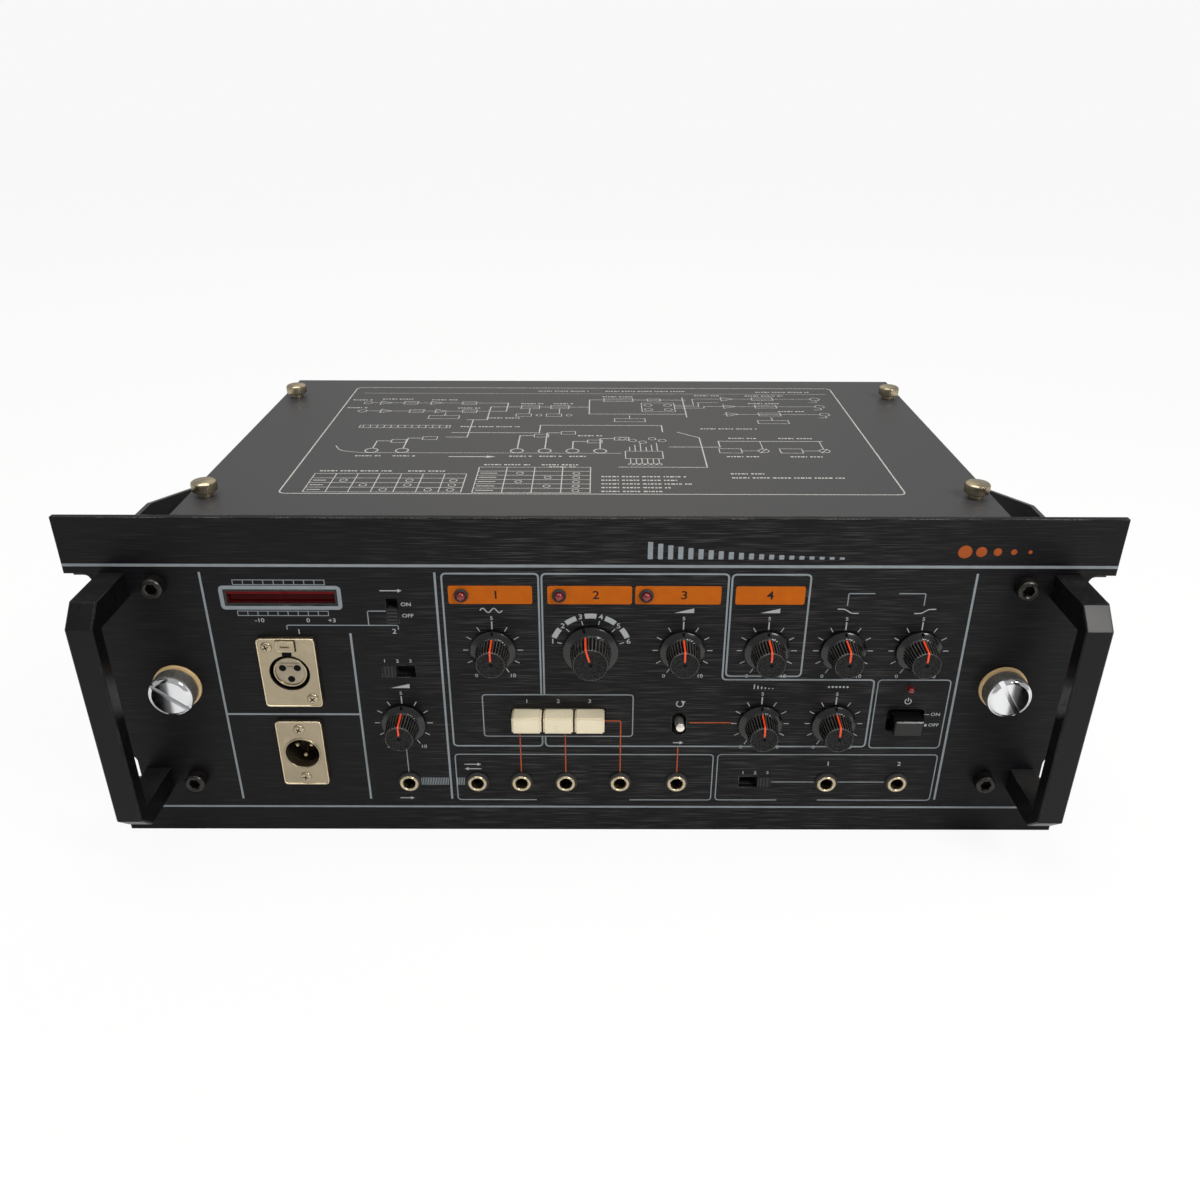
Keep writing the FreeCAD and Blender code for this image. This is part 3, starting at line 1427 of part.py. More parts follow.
def make_reverb_tank():
    """A long pressed box for the reverberation springs, open below, on end feet."""
    body = new_body("reverb_tank")
    left = -(CHASSIS_HALF - S.reverb_side_gap)
    right, front, rear = left + S.reverb_length, REVERB_FRONT, REVERB_REAR
    high, wall = FLOOR + S.reverb_height, S.reverb_sheet
    grow(body, "XY", FLOOR, high, rectangle(left, right, front, rear))
    hollow = rectangle(left + wall, right - wall, front + wall, rear - wall)
    carve(body, "XY", FLOOR, high - wall, hollow)
    for start, end in ((left - S.reverb_foot, left), (right, right + S.reverb_foot)):
        grow(body, "XY", FLOOR, FLOOR + wall, rectangle(start, end, front, rear))


# ---------------------------------------------------------------- build, test and write
make_front_panel()
for sign, name in ((-1, "left"), (1, "right")):
    make_rack_bracket(sign, f"rack_bracket_{name}")
    make_handle(sign, f"handle_{name}")
    make_panel_thumbscrew(sign, f"panel_thumbscrew_{name}")
make_panel_screws()
make_thumbscrew_washers()
make_chassis_tray()
make_rear_panel()
make_mains_gland()
make_top_cover()
make_cover_thumbscrews()
make_knobs()
make_rotary_controls()
make_level_meter()
make_lamps()
make_slide_switches()
make_buttons()
make_push_switches()
make_toggle()
make_jacks()
make_input_connector()
make_output_connector()
make_connector_screws()
make_transport_deck()
make_tape_heads()
make_tape_loop()
make_capstan()
make_drive_motor()
make_pinch_roller()
make_circuit_boards()
make_power_transformer()
make_reverb_tank()
doc.recompute()

for thing in doc.Objects:
    if "Invalid" in thing.State or "Error" in thing.State:
        raise RuntimeError(f"{thing.Label} failed: {thing.State}")
for cut in CUTS:
    if cut.BaseFeature.Shape.Volume - cut.Shape.Volume < NEAR:
        raise RuntimeError(f"{cut.Label} cuts nothing")
for node, piece in NODES.items():
    if piece.Shape.isNull() or not piece.Shape.isValid() or not piece.Shape.Solids:
        raise RuntimeError(f"{node} has no valid shape")
os.makedirs("parts", exist_ok=True)
for node, piece in NODES.items():
    piece.Shape.exportStep(f"parts/{node}.step")
print(len(NODES), "nodes,", sum(len(piece.Shape.Solids) for piece in NODES.values()), "solids")
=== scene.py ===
"""Finishes, printing and small pieces of a rack-mount tape echo unit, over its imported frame."""

from math import cos, pi, radians, sin

import bmesh
import bpy
from mathutils import Matrix, Vector


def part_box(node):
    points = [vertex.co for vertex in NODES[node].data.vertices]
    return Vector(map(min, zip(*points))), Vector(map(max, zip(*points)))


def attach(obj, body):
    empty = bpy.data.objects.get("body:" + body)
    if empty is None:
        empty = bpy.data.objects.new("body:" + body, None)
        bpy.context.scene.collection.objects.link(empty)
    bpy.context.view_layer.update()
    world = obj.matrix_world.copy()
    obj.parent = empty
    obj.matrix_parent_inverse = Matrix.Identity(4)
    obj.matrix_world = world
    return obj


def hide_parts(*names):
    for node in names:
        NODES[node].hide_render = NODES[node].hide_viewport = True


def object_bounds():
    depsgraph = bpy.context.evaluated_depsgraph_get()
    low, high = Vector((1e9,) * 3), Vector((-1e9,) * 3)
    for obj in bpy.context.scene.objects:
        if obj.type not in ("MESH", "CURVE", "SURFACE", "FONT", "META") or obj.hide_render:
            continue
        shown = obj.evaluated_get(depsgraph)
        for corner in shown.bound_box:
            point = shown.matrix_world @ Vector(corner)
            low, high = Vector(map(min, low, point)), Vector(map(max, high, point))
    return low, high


bl_info = {
    "name": "Tape Echo Unit",
    "version": (1, 0, 0),
    "blender": (4, 5, 0),
    "location": "View3D > Sidebar > Tape Echo",
    "description": "Dresses the packed tape echo unit with its finishes, printing and small pieces",
    "category": "Object",
}


def rotation(axis, degrees):
    return Matrix.Rotation(radians(degrees), 4, axis)


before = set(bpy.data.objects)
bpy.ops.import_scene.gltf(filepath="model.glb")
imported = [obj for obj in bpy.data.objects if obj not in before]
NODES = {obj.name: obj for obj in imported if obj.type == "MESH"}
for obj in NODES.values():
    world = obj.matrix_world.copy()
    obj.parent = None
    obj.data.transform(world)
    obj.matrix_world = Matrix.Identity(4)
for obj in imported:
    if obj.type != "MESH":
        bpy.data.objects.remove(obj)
CAD_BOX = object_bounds()
MM = 0.001
FACING_FRONT = rotation("X", 90)
FACING_UP = Matrix.Identity(4)

# Places in millimetres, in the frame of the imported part.
ROW_HIGH, ROW_LOW, ROW_JACKS, ROW_LAMPS = 109.0, 67.2, 31.2, 138.4
KNOB_PLACES = {
    "knob_input_volume": (-92.6, ROW_LOW),
    "knob_depth": (-46.5, ROW_HIGH),
    "knob_mode": (0.0, ROW_HIGH),
    "knob_echo_volume": (43.8, ROW_HIGH),
    "knob_reverb_volume": (84.0, ROW_HIGH),
    "knob_bass": (120.4, ROW_HIGH),
    "knob_treble": (156.4, ROW_HIGH),
    "knob_intensity": (84.0, ROW_LOW),
    "knob_repeat_rate": (120.4, ROW_LOW),
}
MODE_REST = -15.0
JACK_COLUMNS = (-92.6, -57.8, -35.3, -12.7, 14.9, 43.8, 120.4, 156.4)
LAMP_COLUMNS = (-60.0, -14.6, 25.9)
CONNECTOR_COLUMN, INPUT_ROW, OUTPUT_ROW = -144.4, 97.1, 50.1
METER_PLACE = (-143.8, 136.8)
POWER_PLACE, POWER_LAMP_ROW = (155.6, 69.3), 87.7
TOGGLE_PLACE, TOGGLE_PIVOT, TOGGLE_TILT = (43.8, 66.7), 6.0, 12.0
PANEL_SCREWS = tuple((x, z) for x in (-200.4, 200.4) for z in (33.3, 143.7))
THUMB_COLUMN, THUMB_ROW = 200.4, 88.5
COVER_TOP = 172.0
COVER_SCREWS = {f"{end}_{side}": (x, y) for end, y in (("front", 39.0), ("rear", 207.0))
                for side, x in (("left", -185.6), ("right", 185.6))}
BLACK = "black_plastic", "black_plastic"  # a record slot and a finish of the same name
BACKDROP = 0.94  # what the camera sees behind the floor, as pale as the floor at its far end


# ------------------------------------------------------------------ settings
def tint(name, description, *default):
    """A colour."""
    return bpy.props.FloatVectorProperty(
        name=name, description=description, default=default, subtype="COLOR", size=3, min=0.0, max=1.0
    )


def span(name, description, millimetres):
    """A length, which Blender keeps in metres."""
    return bpy.props.FloatProperty(
        name=name, description=description, default=millimetres * MM, min=0.0, unit="LENGTH", precision=5
    )


def amount(name, description, default, low=0.0, **how):
    """A number that isn't negative; how may name a unit, a subtype or a maximum."""
    return bpy.props.FloatProperty(name=name, description=description, default=default, min=low, **how)


class TapeEchoFinishes(bpy.types.PropertyGroup):
    """Colours of the metal, paint and plastic."""

    anodised: tint("Anodised panel", "Black anodised aluminium of the panel", 0.0034, 0.0032, 0.0046)
    handle: tint("Handles", "Satin black of the carrying handles", 0.0038, 0.0036, 0.0042)
    case: tint("Case paint", "Dark grey paint of the cover and chassis", 0.038, 0.034, 0.025)
    nickel: tint("Nickel", "Nickel plate of connectors, jacks and screws", 0.39, 0.33, 0.23)
    chrome: tint("Chrome", "Polished plate of the panel thumbscrews", 0.56, 0.555, 0.54)
    knob: tint("Knobs", "Black plastic of the knobs", 0.0055, 0.0055, 0.0055)
    pointer: tint("Pointers", "Orange-red of the pointer lines", 0.82, 0.07, 0.014)
    cream: tint("Buttons", "Aged ivory of the effect buttons", 0.80, 0.715, 0.52)
    filter_red: tint("Meter filter", "Dark red filter of the level meter", 0.045, 0.0005, 0.001)
    lamp_red: tint("Lamps", "Unlit red of the lamps", 0.17, 0.004, 0.006)
    # Edge wear paints rubbed edges; it is set high enough to stand in partly for highlights along edges too.
    wear: amount("Edge wear", "How far edges of black finishes are rubbed", 0.6, max=1.0, subtype="FACTOR")


class TapeEchoPrinting(bpy.types.PropertyGroup):
    """Widths and colours of the printing."""

    grey: tint("Grey ink", "Blue-grey ink of lines, ticks and numbers", 0.24, 0.27, 0.29)
    pale: tint("Pale ink", "Pale ink of the numbers and switch words", 0.38, 0.40, 0.41)
    orange: tint("Orange ink", "Ink of the effect plates", 0.47, 0.103, 0.0015)
    dots: tint("Header dots", "Dull orange ink of the dots in the header", 0.33, 0.075, 0.016)
    trace: tint("Trace ink", "Orange-red ink of the lines to the jacks", 0.42, 0.085, 0.022)
    cover: tint("Cover ink", "Pale ink of the diagram on the cover", 0.46, 0.46, 0.44)
    header: span("Header line", "Width of the lines along the panel's top and foot", 1.45)
    divider: span("Dividers", "Width of the upright lines between sections", 1.05)
    outline: span("Frames", "Width of the rounded frames", 0.85)
    tick: span("Ticks", "Width of the ticks round the knobs", 0.42)
    lift: span("Ink lift", "How far the ink stands off the surface", 0.04)


class TapeEchoPieces(bpy.types.PropertyGroup):
    """Sizes of the small pieces."""

    flutes: bpy.props.IntProperty(name="Flutes", description="Grooves round a grip", default=32, min=12)
    flute_depth: span("Flute depth", "Depth of the grooves round a grip", 0.6)
    pointer: span("Pointer", "Width of a knob's pointer line", 0.85)
    nut: span("Jack nut", "Radius of the black ring nut of a jack", 5.7)
    lip: span("Jack lip", "Radius of the flared lip of a jack's ferrule", 4.4)


class TapeEchoStage(bpy.types.PropertyGroup):
    """Floor, lights and camera."""

    floor: tint("Floor", "Colour of the floor and the backdrop", 0.92, 0.92, 0.92)
    world: amount("Sky light", "Strength of the even light all round", 0.42, max=4.0, subtype="FACTOR")
    key: amount("Key light", "Power of the large overhead lamp", 9.0, unit="POWER")
    side: amount("Front light", "Power of the lamp above the front, on the right", 9.0, unit="POWER")
    back: amount("Back light", "Power of the lamp behind, above the horizon", 2.4, unit="POWER")
    lens: amount("Lens", "Focal length in millimetres", 30.4185, low=1.0, unit="CAMERA")


FAMILIES = {
    "finishes": TapeEchoFinishes, "printing": TapeEchoPrinting,
    "pieces": TapeEchoPieces, "stage": TapeEchoStage,
}


def chosen(family):
    """The settings of one family."""
    return getattr(bpy.context.scene, "tape_echo_" + family)


# ------------------------------------------------------------------ shader groups
def feed(tree, made, feeds):
    """Links a node's inputs to sockets or sets them to constants, by their names or numbers."""
    for key, value in feeds.items():
        if isinstance(value, bpy.types.NodeSocket):
            tree.links.new(value, made.inputs[key])
        else:
            made.inputs[key].default_value = value


def node(tree, kind, feeds=None, **values):
    """A shader node with its own properties set to the values and its inputs fed."""
    made = tree.nodes.new("ShaderNode" + kind)
    for key, value in values.items():
        setattr(made, key, value)
    feed(tree, made, feeds or {})
    return made


def maths(tree, operation, first, second, clamp=False):
    feeds = {0: first, 1: second}
    return node(tree, "Math", feeds, operation=operation, use_clamp=clamp).outputs[0]


def times(tree, first, *others, clamp=False):
    """A product, which is clamped at its last step if at all."""
    for k, other in enumerate(others, start=1):
        first = maths(tree, "MULTIPLY", first, other, clamp and k == len(others))
    return first


def ramp(tree, value, low, high):
    """0 below low and 1 above high."""
    feeds = {"Value": value, "From Min": low, "From Max": high}
    return node(tree, "MapRange", feeds, interpolation_type="SMOOTHSTEP").outputs["Result"]


def own_space(tree):
    return node(tree, "TexCoord").outputs["Object"]


def noise(tree, scale, detail=3.0, stretch=(1, 1, 1), shift=(0, 0, 0)):
    """Noise in the object's own space; scale is in waves for each metre."""
    place = node(tree, "Mapping", {"Vector": own_space(tree), "Scale": stretch, "Location": shift}).outputs[0]
    return node(tree, "TexNoise", {"Vector": place, "Scale": scale, "Detail": detail}).outputs["Fac"]


def edge_wear(group, inward):
    """Rubbed edges, partly also a painted highlight along edges: where the rounded normal leaves the face's
    own, broken up by noise.
    """
    bevel = node(group, "Bevel", {"Radius": 0.0006}, samples=4)
    own = node(group, "NewGeometry")
    feeds = {0: bevel.outputs["Normal"], 1: own.outputs["Normal"]}
    dot = node(group, "VectorMath", feeds, operation="DOT_PRODUCT")
    edge = ramp(group, maths(group, "SUBTRACT", 1.0, dot.outputs["Value"]), 0.02, 0.16)
    patches = ramp(group, noise(group, inward["Patch Scale"], 5.0), 0.42, 0.62)
    fine = ramp(group, noise(group, 900.0, 2.0), 0.35, 0.6)
    return {"Mask": times(group, edge, patches, fine, inward["Amount"], clamp=True)}


def fine_surface(group, inward):
    """Fine grain and broad mottling for any finish."""
    return {"Grain": noise(group, inward["Grain Scale"]), "Mottle": noise(group, inward["Mottle Scale"], 4.0)}


def brushed_lines(group, inward):
    """Long fine scratches that run along X, as a brush leaves them."""
    lines = noise(group, inward["Line Scale"], 5.0, stretch=(0.022, 1.0, 1.0))
    return {"Lines": lines, "Bands": noise(group, 160.0, stretch=(0.05, 1.0, 1.0), shift=(3.0, 1.0, 7.0))}


def settled_dust(group, inward):
    """Thin dust that lies on what faces up."""
    own = node(group, "NewGeometry")
    up = ramp(group, node(group, "SeparateXYZ", {0: own.outputs["Normal"]}).outputs["Z"], 0.55, 0.95)
    specks = ramp(group, noise(group, 420.0, 6.0), 0.5, 0.75)
    film = ramp(group, noise(group, 14.0), 0.3, 0.8)
    cover = maths(group, "ADD", times(group, specks, 0.5), film)
    return {"Mask": times(group, up, cover, inward["Amount"], clamp=True)}


def soft_edge(group, inward):
    """The face's normal, rounded over at sharp edges."""
    return {"Normal": node(group, "Bevel", {"Radius": inward["Radius"]}, samples=4).outputs["Normal"]}


def hairlines(group, inward):
    """Scattered hairline scratches in three directions."""
    total = None
    for stretch, shift in (((1.0, 0.03, 0.03), 0.0), ((0.03, 1.0, 0.04), 4.0), ((0.05, 0.04, 1.0), 9.0)):
        mark = ramp(group, noise(group, 2600.0, 1.0, stretch, (shift, shift, shift)), 0.66, 0.72)
        total = maths(group, "MAXIMUM", total, mark) if total else mark
    return {"Mask": times(group, total, inward["Amount"], clamp=True)}


GROUPS = {
    "edge_wear": (edge_wear, {"Amount": 0.3, "Patch Scale": 60.0}),
    "fine_surface": (fine_surface, {"Grain Scale": 1500.0, "Mottle Scale": 25.0}),
    "brushed_lines": (brushed_lines, {"Line Scale": 2100.0}),
    "settled_dust": (settled_dust, {"Amount": 0.1}),
    "soft_edge": (soft_edge, {"Radius": 0.0003}),
    "hairlines": (hairlines, {"Amount": 0.3}),
}


def make_group(name):
    """A shader node group with its sockets, round what its function makes."""
    fill, inputs = GROUPS[name]
    group = bpy.data.node_groups.new(name, "ShaderNodeTree")
    for label, default in inputs.items():
        socket = group.interface.new_socket(name=label, in_out="INPUT", socket_type="NodeSocketFloat")
        socket.default_value = default
    results = fill(group, group.nodes.new("NodeGroupInput").outputs)
    for label in results:
        kind = "NodeSocketVector" if label == "Normal" else "NodeSocketFloat"
        group.interface.new_socket(name=label, in_out="OUTPUT", socket_type=kind)
    feed(group, group.nodes.new("NodeGroupOutput"), results)
    return group


def use_group(tree, name, **values):
    """The outputs of a group whose inputs are set to the values."""
    group = bpy.data.node_groups.get(name) or make_group(name)
    feeds = {label.replace("_", " ").title(): value for label, value in values.items()}
    return node(tree, "Group", feeds, node_tree=group).outputs


# ------------------------------------------------------------------ materials
def blend_colour(tree, factor, first, second):
    """A mix of two colours; each is a socket or a colour."""
    feeds = {"Factor": factor}
    for index, colour in ((6, first), (7, second)):
        feeds[index] = colour if isinstance(colour, bpy.types.NodeSocket) else (*colour, 1.0)
    return node(tree, "Mix", feeds, data_type="RGBA").outputs[2]


def spread_value(tree, factor, low, high):
    """Maps a noise's middle range on low to high."""
    feeds = {"Value": factor, "From Min": 0.3, "From Max": 0.7, "To Min": low, "To Max": high}
    return node(tree, "MapRange", feeds).outputs["Result"]


def scaled(colour, factor):
    return tuple(min(1.0, part * factor) for part in colour)


def across_share(tree, middle, near, far, least):
    """1 within near of the middle and the least share beyond far, in metres along the object's X; it keeps
    the painted sheen of brushed streaks to a band.
    """
    along = node(tree, "SeparateXYZ", {0: own_space(tree)}).outputs["X"]
    away = node(tree, "Math", {0: maths(tree, "SUBTRACT", along, middle)}, operation="ABSOLUTE").outputs[0]
    return maths(tree, "SUBTRACT", 1.0, times(tree, ramp(tree, away, near, far), 1.0 - least))


def finish(
    name, colour, roughness, metallic=0.0, varies=0.15, rough_varies=0.06, grain=1500.0, mottle=25.0,
    bump=0.0, depth=0.02, edge=0.3, wear=0.0, wear_colour=None, dust=0.0, brushed=0.0, streak_colour=None,
    fades=None, scratches=0.0, coat=0.0, specular=0.5,
):
    """A finish with mottled colour, uneven gloss, softened edges and, where asked, wear, dust and brushed
    lines painted lighter as a sheen.

    Scales are in waves for each metre, the bump's depth and the edge's radius in millimetres.
    """
    material = bpy.data.materials.new(name)
    material.use_nodes = True
    tree = material.node_tree
    surface = use_group(tree, "fine_surface", grain_scale=grain, mottle_scale=mottle)
    share = spread_value(tree, surface["Mottle"], 0.0, 1.0)
    base = blend_colour(tree, share, scaled(colour, 1.0 - varies), scaled(colour, 1.0 + varies))
    rough = spread_value(tree, surface["Mottle"], roughness - rough_varies, roughness + rough_varies)
    height = surface["Grain"]
    if brushed:
        lines = use_group(tree, "brushed_lines")
        # Painted sheen: the brushed lines take a lighter colour, faded across X where a band is given.
        streak = times(tree, ramp(tree, lines["Lines"], 0.48, 0.7), brushed)
        if fades:
            streak = times(tree, streak, across_share(tree, *fades))
        base = blend_colour(tree, streak, base, streak_colour or scaled(colour, 8.0))
        uneven = times(tree, maths(tree, "SUBTRACT", lines["Bands"], 0.5), brushed * 0.2)
        rough = maths(tree, "ADD", rough, uneven)
        height = lines["Lines"]
    if scratches:
        hairs = use_group(tree, "hairlines", amount=scratches)["Mask"]
        base = blend_colour(tree, hairs, base, scaled(colour, 1.8))
        rough = maths(tree, "ADD", rough, times(tree, hairs, 0.25))
    # Rubbed edges, partly painted highlight along edges.
    if wear:
        rubbed = use_group(tree, "edge_wear", amount=wear * chosen("finishes").wear)["Mask"]
        base = blend_colour(tree, rubbed, base, wear_colour)
    if dust:
        settled = use_group(tree, "settled_dust", amount=dust)["Mask"]
        base = blend_colour(tree, settled, base, (0.35, 0.34, 0.32))
        rough = maths(tree, "ADD", rough, times(tree, settled, 0.5))
    soft = use_group(tree, "soft_edge", radius=edge * MM)["Normal"]
    feeds = {"Strength": bump, "Distance": depth * MM, "Height": height, "Normal": soft}
    bumped = node(tree, "Bump", feeds).outputs["Normal"]
    feed(tree, tree.nodes["Principled BSDF"], {
        "Base Color": base, "Roughness": rough, "Normal": bumped, "Metallic": metallic,
        "Specular IOR Level": specular, "Coat Weight": coat, "Coat Roughness": 0.12,
    })
    return material


def look(colour, roughness, **others):
    """The values of a finish; its colour may be a setting, or a setting with a factor that brightens it."""
    return colour, roughness, others


def ink(colour):
    """Silk-screened ink with slightly uneven cover."""
    return look(
        colour, 0.5, varies=0.08, grain=2500, mottle=180, bump=0.2, depth=0.01, edge=0.01, specular=0.12
    )


def nickel(roughness, factor=1.0):
    """Nickel plate; the factor paints it brighter than the chosen colour, as a painted highlight."""
    return look(
        ("finishes.nickel", factor), roughness, metallic=1.0, varies=0.1, rough_varies=0.08, grain=1800,
        mottle=90, bump=0.25, depth=0.01, scratches=0.15,
    )


# Wear is a share of the chosen edge wear, which paints rubbed edges and, partly, highlights along edges.
FINISHES = {
    # The brushing is real; the lighter colour of its streaks, strongest in a band across the middle, is a
    # painted sheen.
    "anodised_panel": look(
        "finishes.anodised", 0.42, varies=0.1, grain=900, mottle=9, bump=0.3, edge=0.25, specular=0.16,
        wear=1.0, wear_colour=(0.42, 0.41, 0.4), brushed=1.0, streak_colour=(0.044, 0.042, 0.039),
        fades=(0.04, 0.07, 0.17, 0.25)),
    "handle_paint": look(
        "finishes.handle", 0.3, varies=0.12, grain=700, mottle=30, bump=0.25, specular=0.18, edge=0.6,
        wear=0.5, wear_colour=(0.3, 0.29, 0.28), dust=0.05),
    "case_paint": look(
        "finishes.case", 0.45, varies=0.06, grain=1300, mottle=8, bump=0.5, depth=0.03, edge=0.5, wear=0.4,
        wear_colour=(0.28, 0.27, 0.26), dust=0.06, specular=0.28),
    "bracket_paint": look(
        (0.014, 0.014, 0.015), 0.38, grain=1100, bump=0.4, depth=0.03, edge=0.4, wear=0.5,
        wear_colour=(0.35, 0.35, 0.34), dust=0.12),
    "black_oxide": look(
        (0.05, 0.046, 0.042), 0.34, metallic=0.9, mottle=220, bump=0.3, edge=0.2, wear=1.0,
        wear_colour=(0.3, 0.28, 0.26)),
    "bright_chrome": look(
        "finishes.chrome", 0.14, metallic=1.0, varies=0.06, rough_varies=0.05, mottle=150, bump=0.15,
        depth=0.01, edge=0.25, scratches=0.5),
    # The nickels with a factor are brighter copies of one nickel: painted highlights.
    "nickel_plate": nickel(0.3), "cast_nickel": nickel(0.36), "bright_nickel": nickel(0.26, 1.75),
    "pin_nickel": nickel(0.2, 1.2), "screw_nickel": nickel(0.28, 1.25), "latch_nickel": nickel(0.26, 1.3),
    "insert_rim_nickel": nickel(0.25, 1.1), "border_nickel": nickel(0.24, 1.9),
    "satin_nickel": look(
        (0.88, 0.84, 0.76), 0.33, metallic=0.9, varies=0.08, grain=1800, mottle=200, bump=0.2),
    "knurled_plate": look(
        (0.34, 0.33, 0.31), 0.4, metallic=0.85, varies=0.3, grain=2200, mottle=900, bump=1.0, depth=0.2,
        edge=0.1),
    "black_plastic": look(
        (0.01, 0.01, 0.01), 0.36, grain=1800, mottle=120, bump=0.2, depth=0.01, edge=0.25),
    "gloss_black": look((0.005, 0.005, 0.005), 0.2, mottle=80, edge=0.6, specular=0.4),
    "knob_plastic": look(
        "finishes.knob", 0.19, varies=0.2, rough_varies=0.05, grain=2400, mottle=160, bump=0.2, depth=0.01,
        edge=0.1, specular=0.55),
    "knob_crown": look(
        ("finishes.knob", 2.6), 0.34, varies=0.95, rough_varies=0.1, grain=1100, mottle=1100, bump=1.0,
        depth=1.2, edge=0.1, specular=0.13),
    # Painted glint: a lighter black for the crests of the grip's ribs and its upper edge.
    "knob_ribs": look(
        (0.046, 0.044, 0.042), 0.3, varies=0.5, grain=2400, mottle=300, bump=0.2, depth=0.01, edge=0.1),
    "pointer_paint": look("finishes.pointer", 0.4, varies=0.08, grain=2200, mottle=300, bump=0.2, edge=0.1),
    "meter_filter": look("finishes.filter_red", 0.2, varies=0.2, mottle=60, edge=0.2, specular=0.06),
    # Painted highlight: the filter's red made brighter for the ledge in the meter's window.
    "meter_ledge": look(("finishes.filter_red", 2.6), 0.3, varies=0.2, mottle=90, edge=0.2, specular=0.1),
    "lamp_lens": look("finishes.lamp_red", 0.12, varies=0.25, grain=1200, mottle=300, coat=0.6, edge=0.1),
    "aged_ivory": look(
        "finishes.cream", 0.3, varies=0.05, rough_varies=0.05, grain=1400, mottle=70, bump=0.1, depth=0.01,
        edge=0.4, coat=0.1),
    "aged_nylon": look((0.70, 0.50, 0.25), 0.42, varies=0.12, grain=900, mottle=120, bump=0.2),
    # Painted shade: a near-black for hollows, recesses and grooves, where shade falls.
    "dark_well": look((0.003, 0.003, 0.003), 0.6, varies=0.2, grain=900, mottle=90, specular=0.08),
    # The cup's dark lining: painted shade on its walls, and its insulating floor.
    "cup_metal": look((0.10, 0.085, 0.065), 0.42, metallic=0.9, mottle=90),
    "insert_plastic": look((0.34, 0.29, 0.215), 0.34, metallic=0.85, varies=0.12, mottle=220, bump=0.2),
    "zinc_sheet": look(
        (0.50, 0.50, 0.47), 0.4, metallic=0.9, varies=0.16, rough_varies=0.1, grain=700, mottle=60, bump=0.2,
        scratches=0.25),
    "board_laminate": look((0.055, 0.13, 0.045), 0.4, varies=0.12, grain=900, mottle=50, coat=0.3),
    "oxide_tape": look((0.06, 0.028, 0.014), 0.3, varies=0.08, grain=2500, mottle=90, coat=0.2),
    "head_face": look((0.60, 0.60, 0.58), 0.2, metallic=1.0, varies=0.08, scratches=0.3, edge=0.2),
    "motor_paint": look((0.20, 0.20, 0.21), 0.45, grain=900, mottle=40, bump=0.4),
    "core_varnish": look((0.07, 0.06, 0.05), 0.5, metallic=0.3, brushed=0.3, bump=0.5),
    "ground_rubber": look((0.016, 0.016, 0.016), 0.7, varies=0.2, grain=1800, bump=0.6),
    "ground_steel": look((0.62, 0.62, 0.62), 0.25, metallic=1.0, varies=0.07, scratches=0.2),
    "grey_ink": ink("printing.grey"), "pale_ink": ink("printing.pale"), "dot_ink": ink("printing.dots"),
    "orange_ink": ink("printing.orange"), "trace_ink": ink("printing.trace"),
    "cover_ink": ink("printing.cover"), "plate_ink": ink((0.012, 0.011, 0.01)),
}


def finished(name):
    """The material of a finish, made when it is first asked for."""
    if name in bpy.data.materials:
        return bpy.data.materials[name]
    colour, roughness, others = FINISHES[name]
    setting, factor = colour if len(colour) == 2 else (colour, 1.0)
    if isinstance(setting, str):
        family, key = setting.split(".")
        colour = scaled(getattr(chosen(family), key), factor)
    return finish(name, colour, roughness, **others)


def give(name, *nodes):
    """Puts one finish on CAD nodes."""
    for piece in (NODES[each] for each in nodes):
        if not piece.material_slots:
            raise RuntimeError(f"{piece.name} has no material slot")
        for slot in piece.material_slots:
            slot.material = finished(name)


# ------------------------------------------------------------------ mesh making
def put_in_scene(name, data):
    made = bpy.data.objects.new(name, data)
    bpy.context.scene.collection.objects.link(made)
    return made


def evaluated_mesh(made):
    """A new mesh of an object as it stands, with its modifiers."""
    bpy.context.view_layer.update()
    return bpy.data.meshes.new_from_object(made.evaluated_get(bpy.context.evaluated_depsgraph_get()))


def new_piece(name, mesh, body, slot, *finishes, place=FACING_UP, smooth=35.0):
    """An object from a mesh in metres, riding on a body; the record slot is not used."""
    for each in finishes:
        mesh.materials.append(finished(each))
    if smooth:
        for face in mesh.polygons:
            face.use_smooth = True
        mesh.set_sharp_from_angle(angle=radians(smooth))
    piece = put_in_scene(name, mesh)
    piece.matrix_world = place
    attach(piece, body)
    return piece


def at(x, y, z, turn=0.0, facing=FACING_FRONT):
    """A place in millimetres; turn is clockwise as seen from the side that the piece faces."""
    spin = rotation("Z", -turn)
    return Matrix.Translation(Vector((x, y, z)) * MM) @ facing @ spin


def corners_of(left, right, low, high):
    return (left, low), (right, low), (right, high), (left, high)


def contact_places():
    """Where a connector's three contacts stand round its middle."""
    reach, angles = 4.1, (60, 180, 300)  # clockwise from the top
    return [(reach * sin(radians(angle)), reach * cos(radians(angle))) for angle in angles]


def round_route(points, radius, closed, steps=5):
    """The points as vectors, with each corner rounded over."""
    points = [Vector(point) for point in points]
    if radius <= 0:
        return points
    route = []
    count = len(points)
    for i, corner in enumerate(points):
        if not closed and i in (0, count - 1):
            route.append(corner)
            continue
        before, after = points[i - 1] - corner, points[(i + 1) % count] - corner
        reach = min(radius, before.length / 2, after.length / 2)
        start, end = corner + before.normalized() * reach, corner + after.normalized() * reach
        for k in range(steps + 1):
            t = k / steps
            route.append(start * (1 - t) ** 2 + corner * (2 * t * (1 - t)) + end * t**2)
    return route


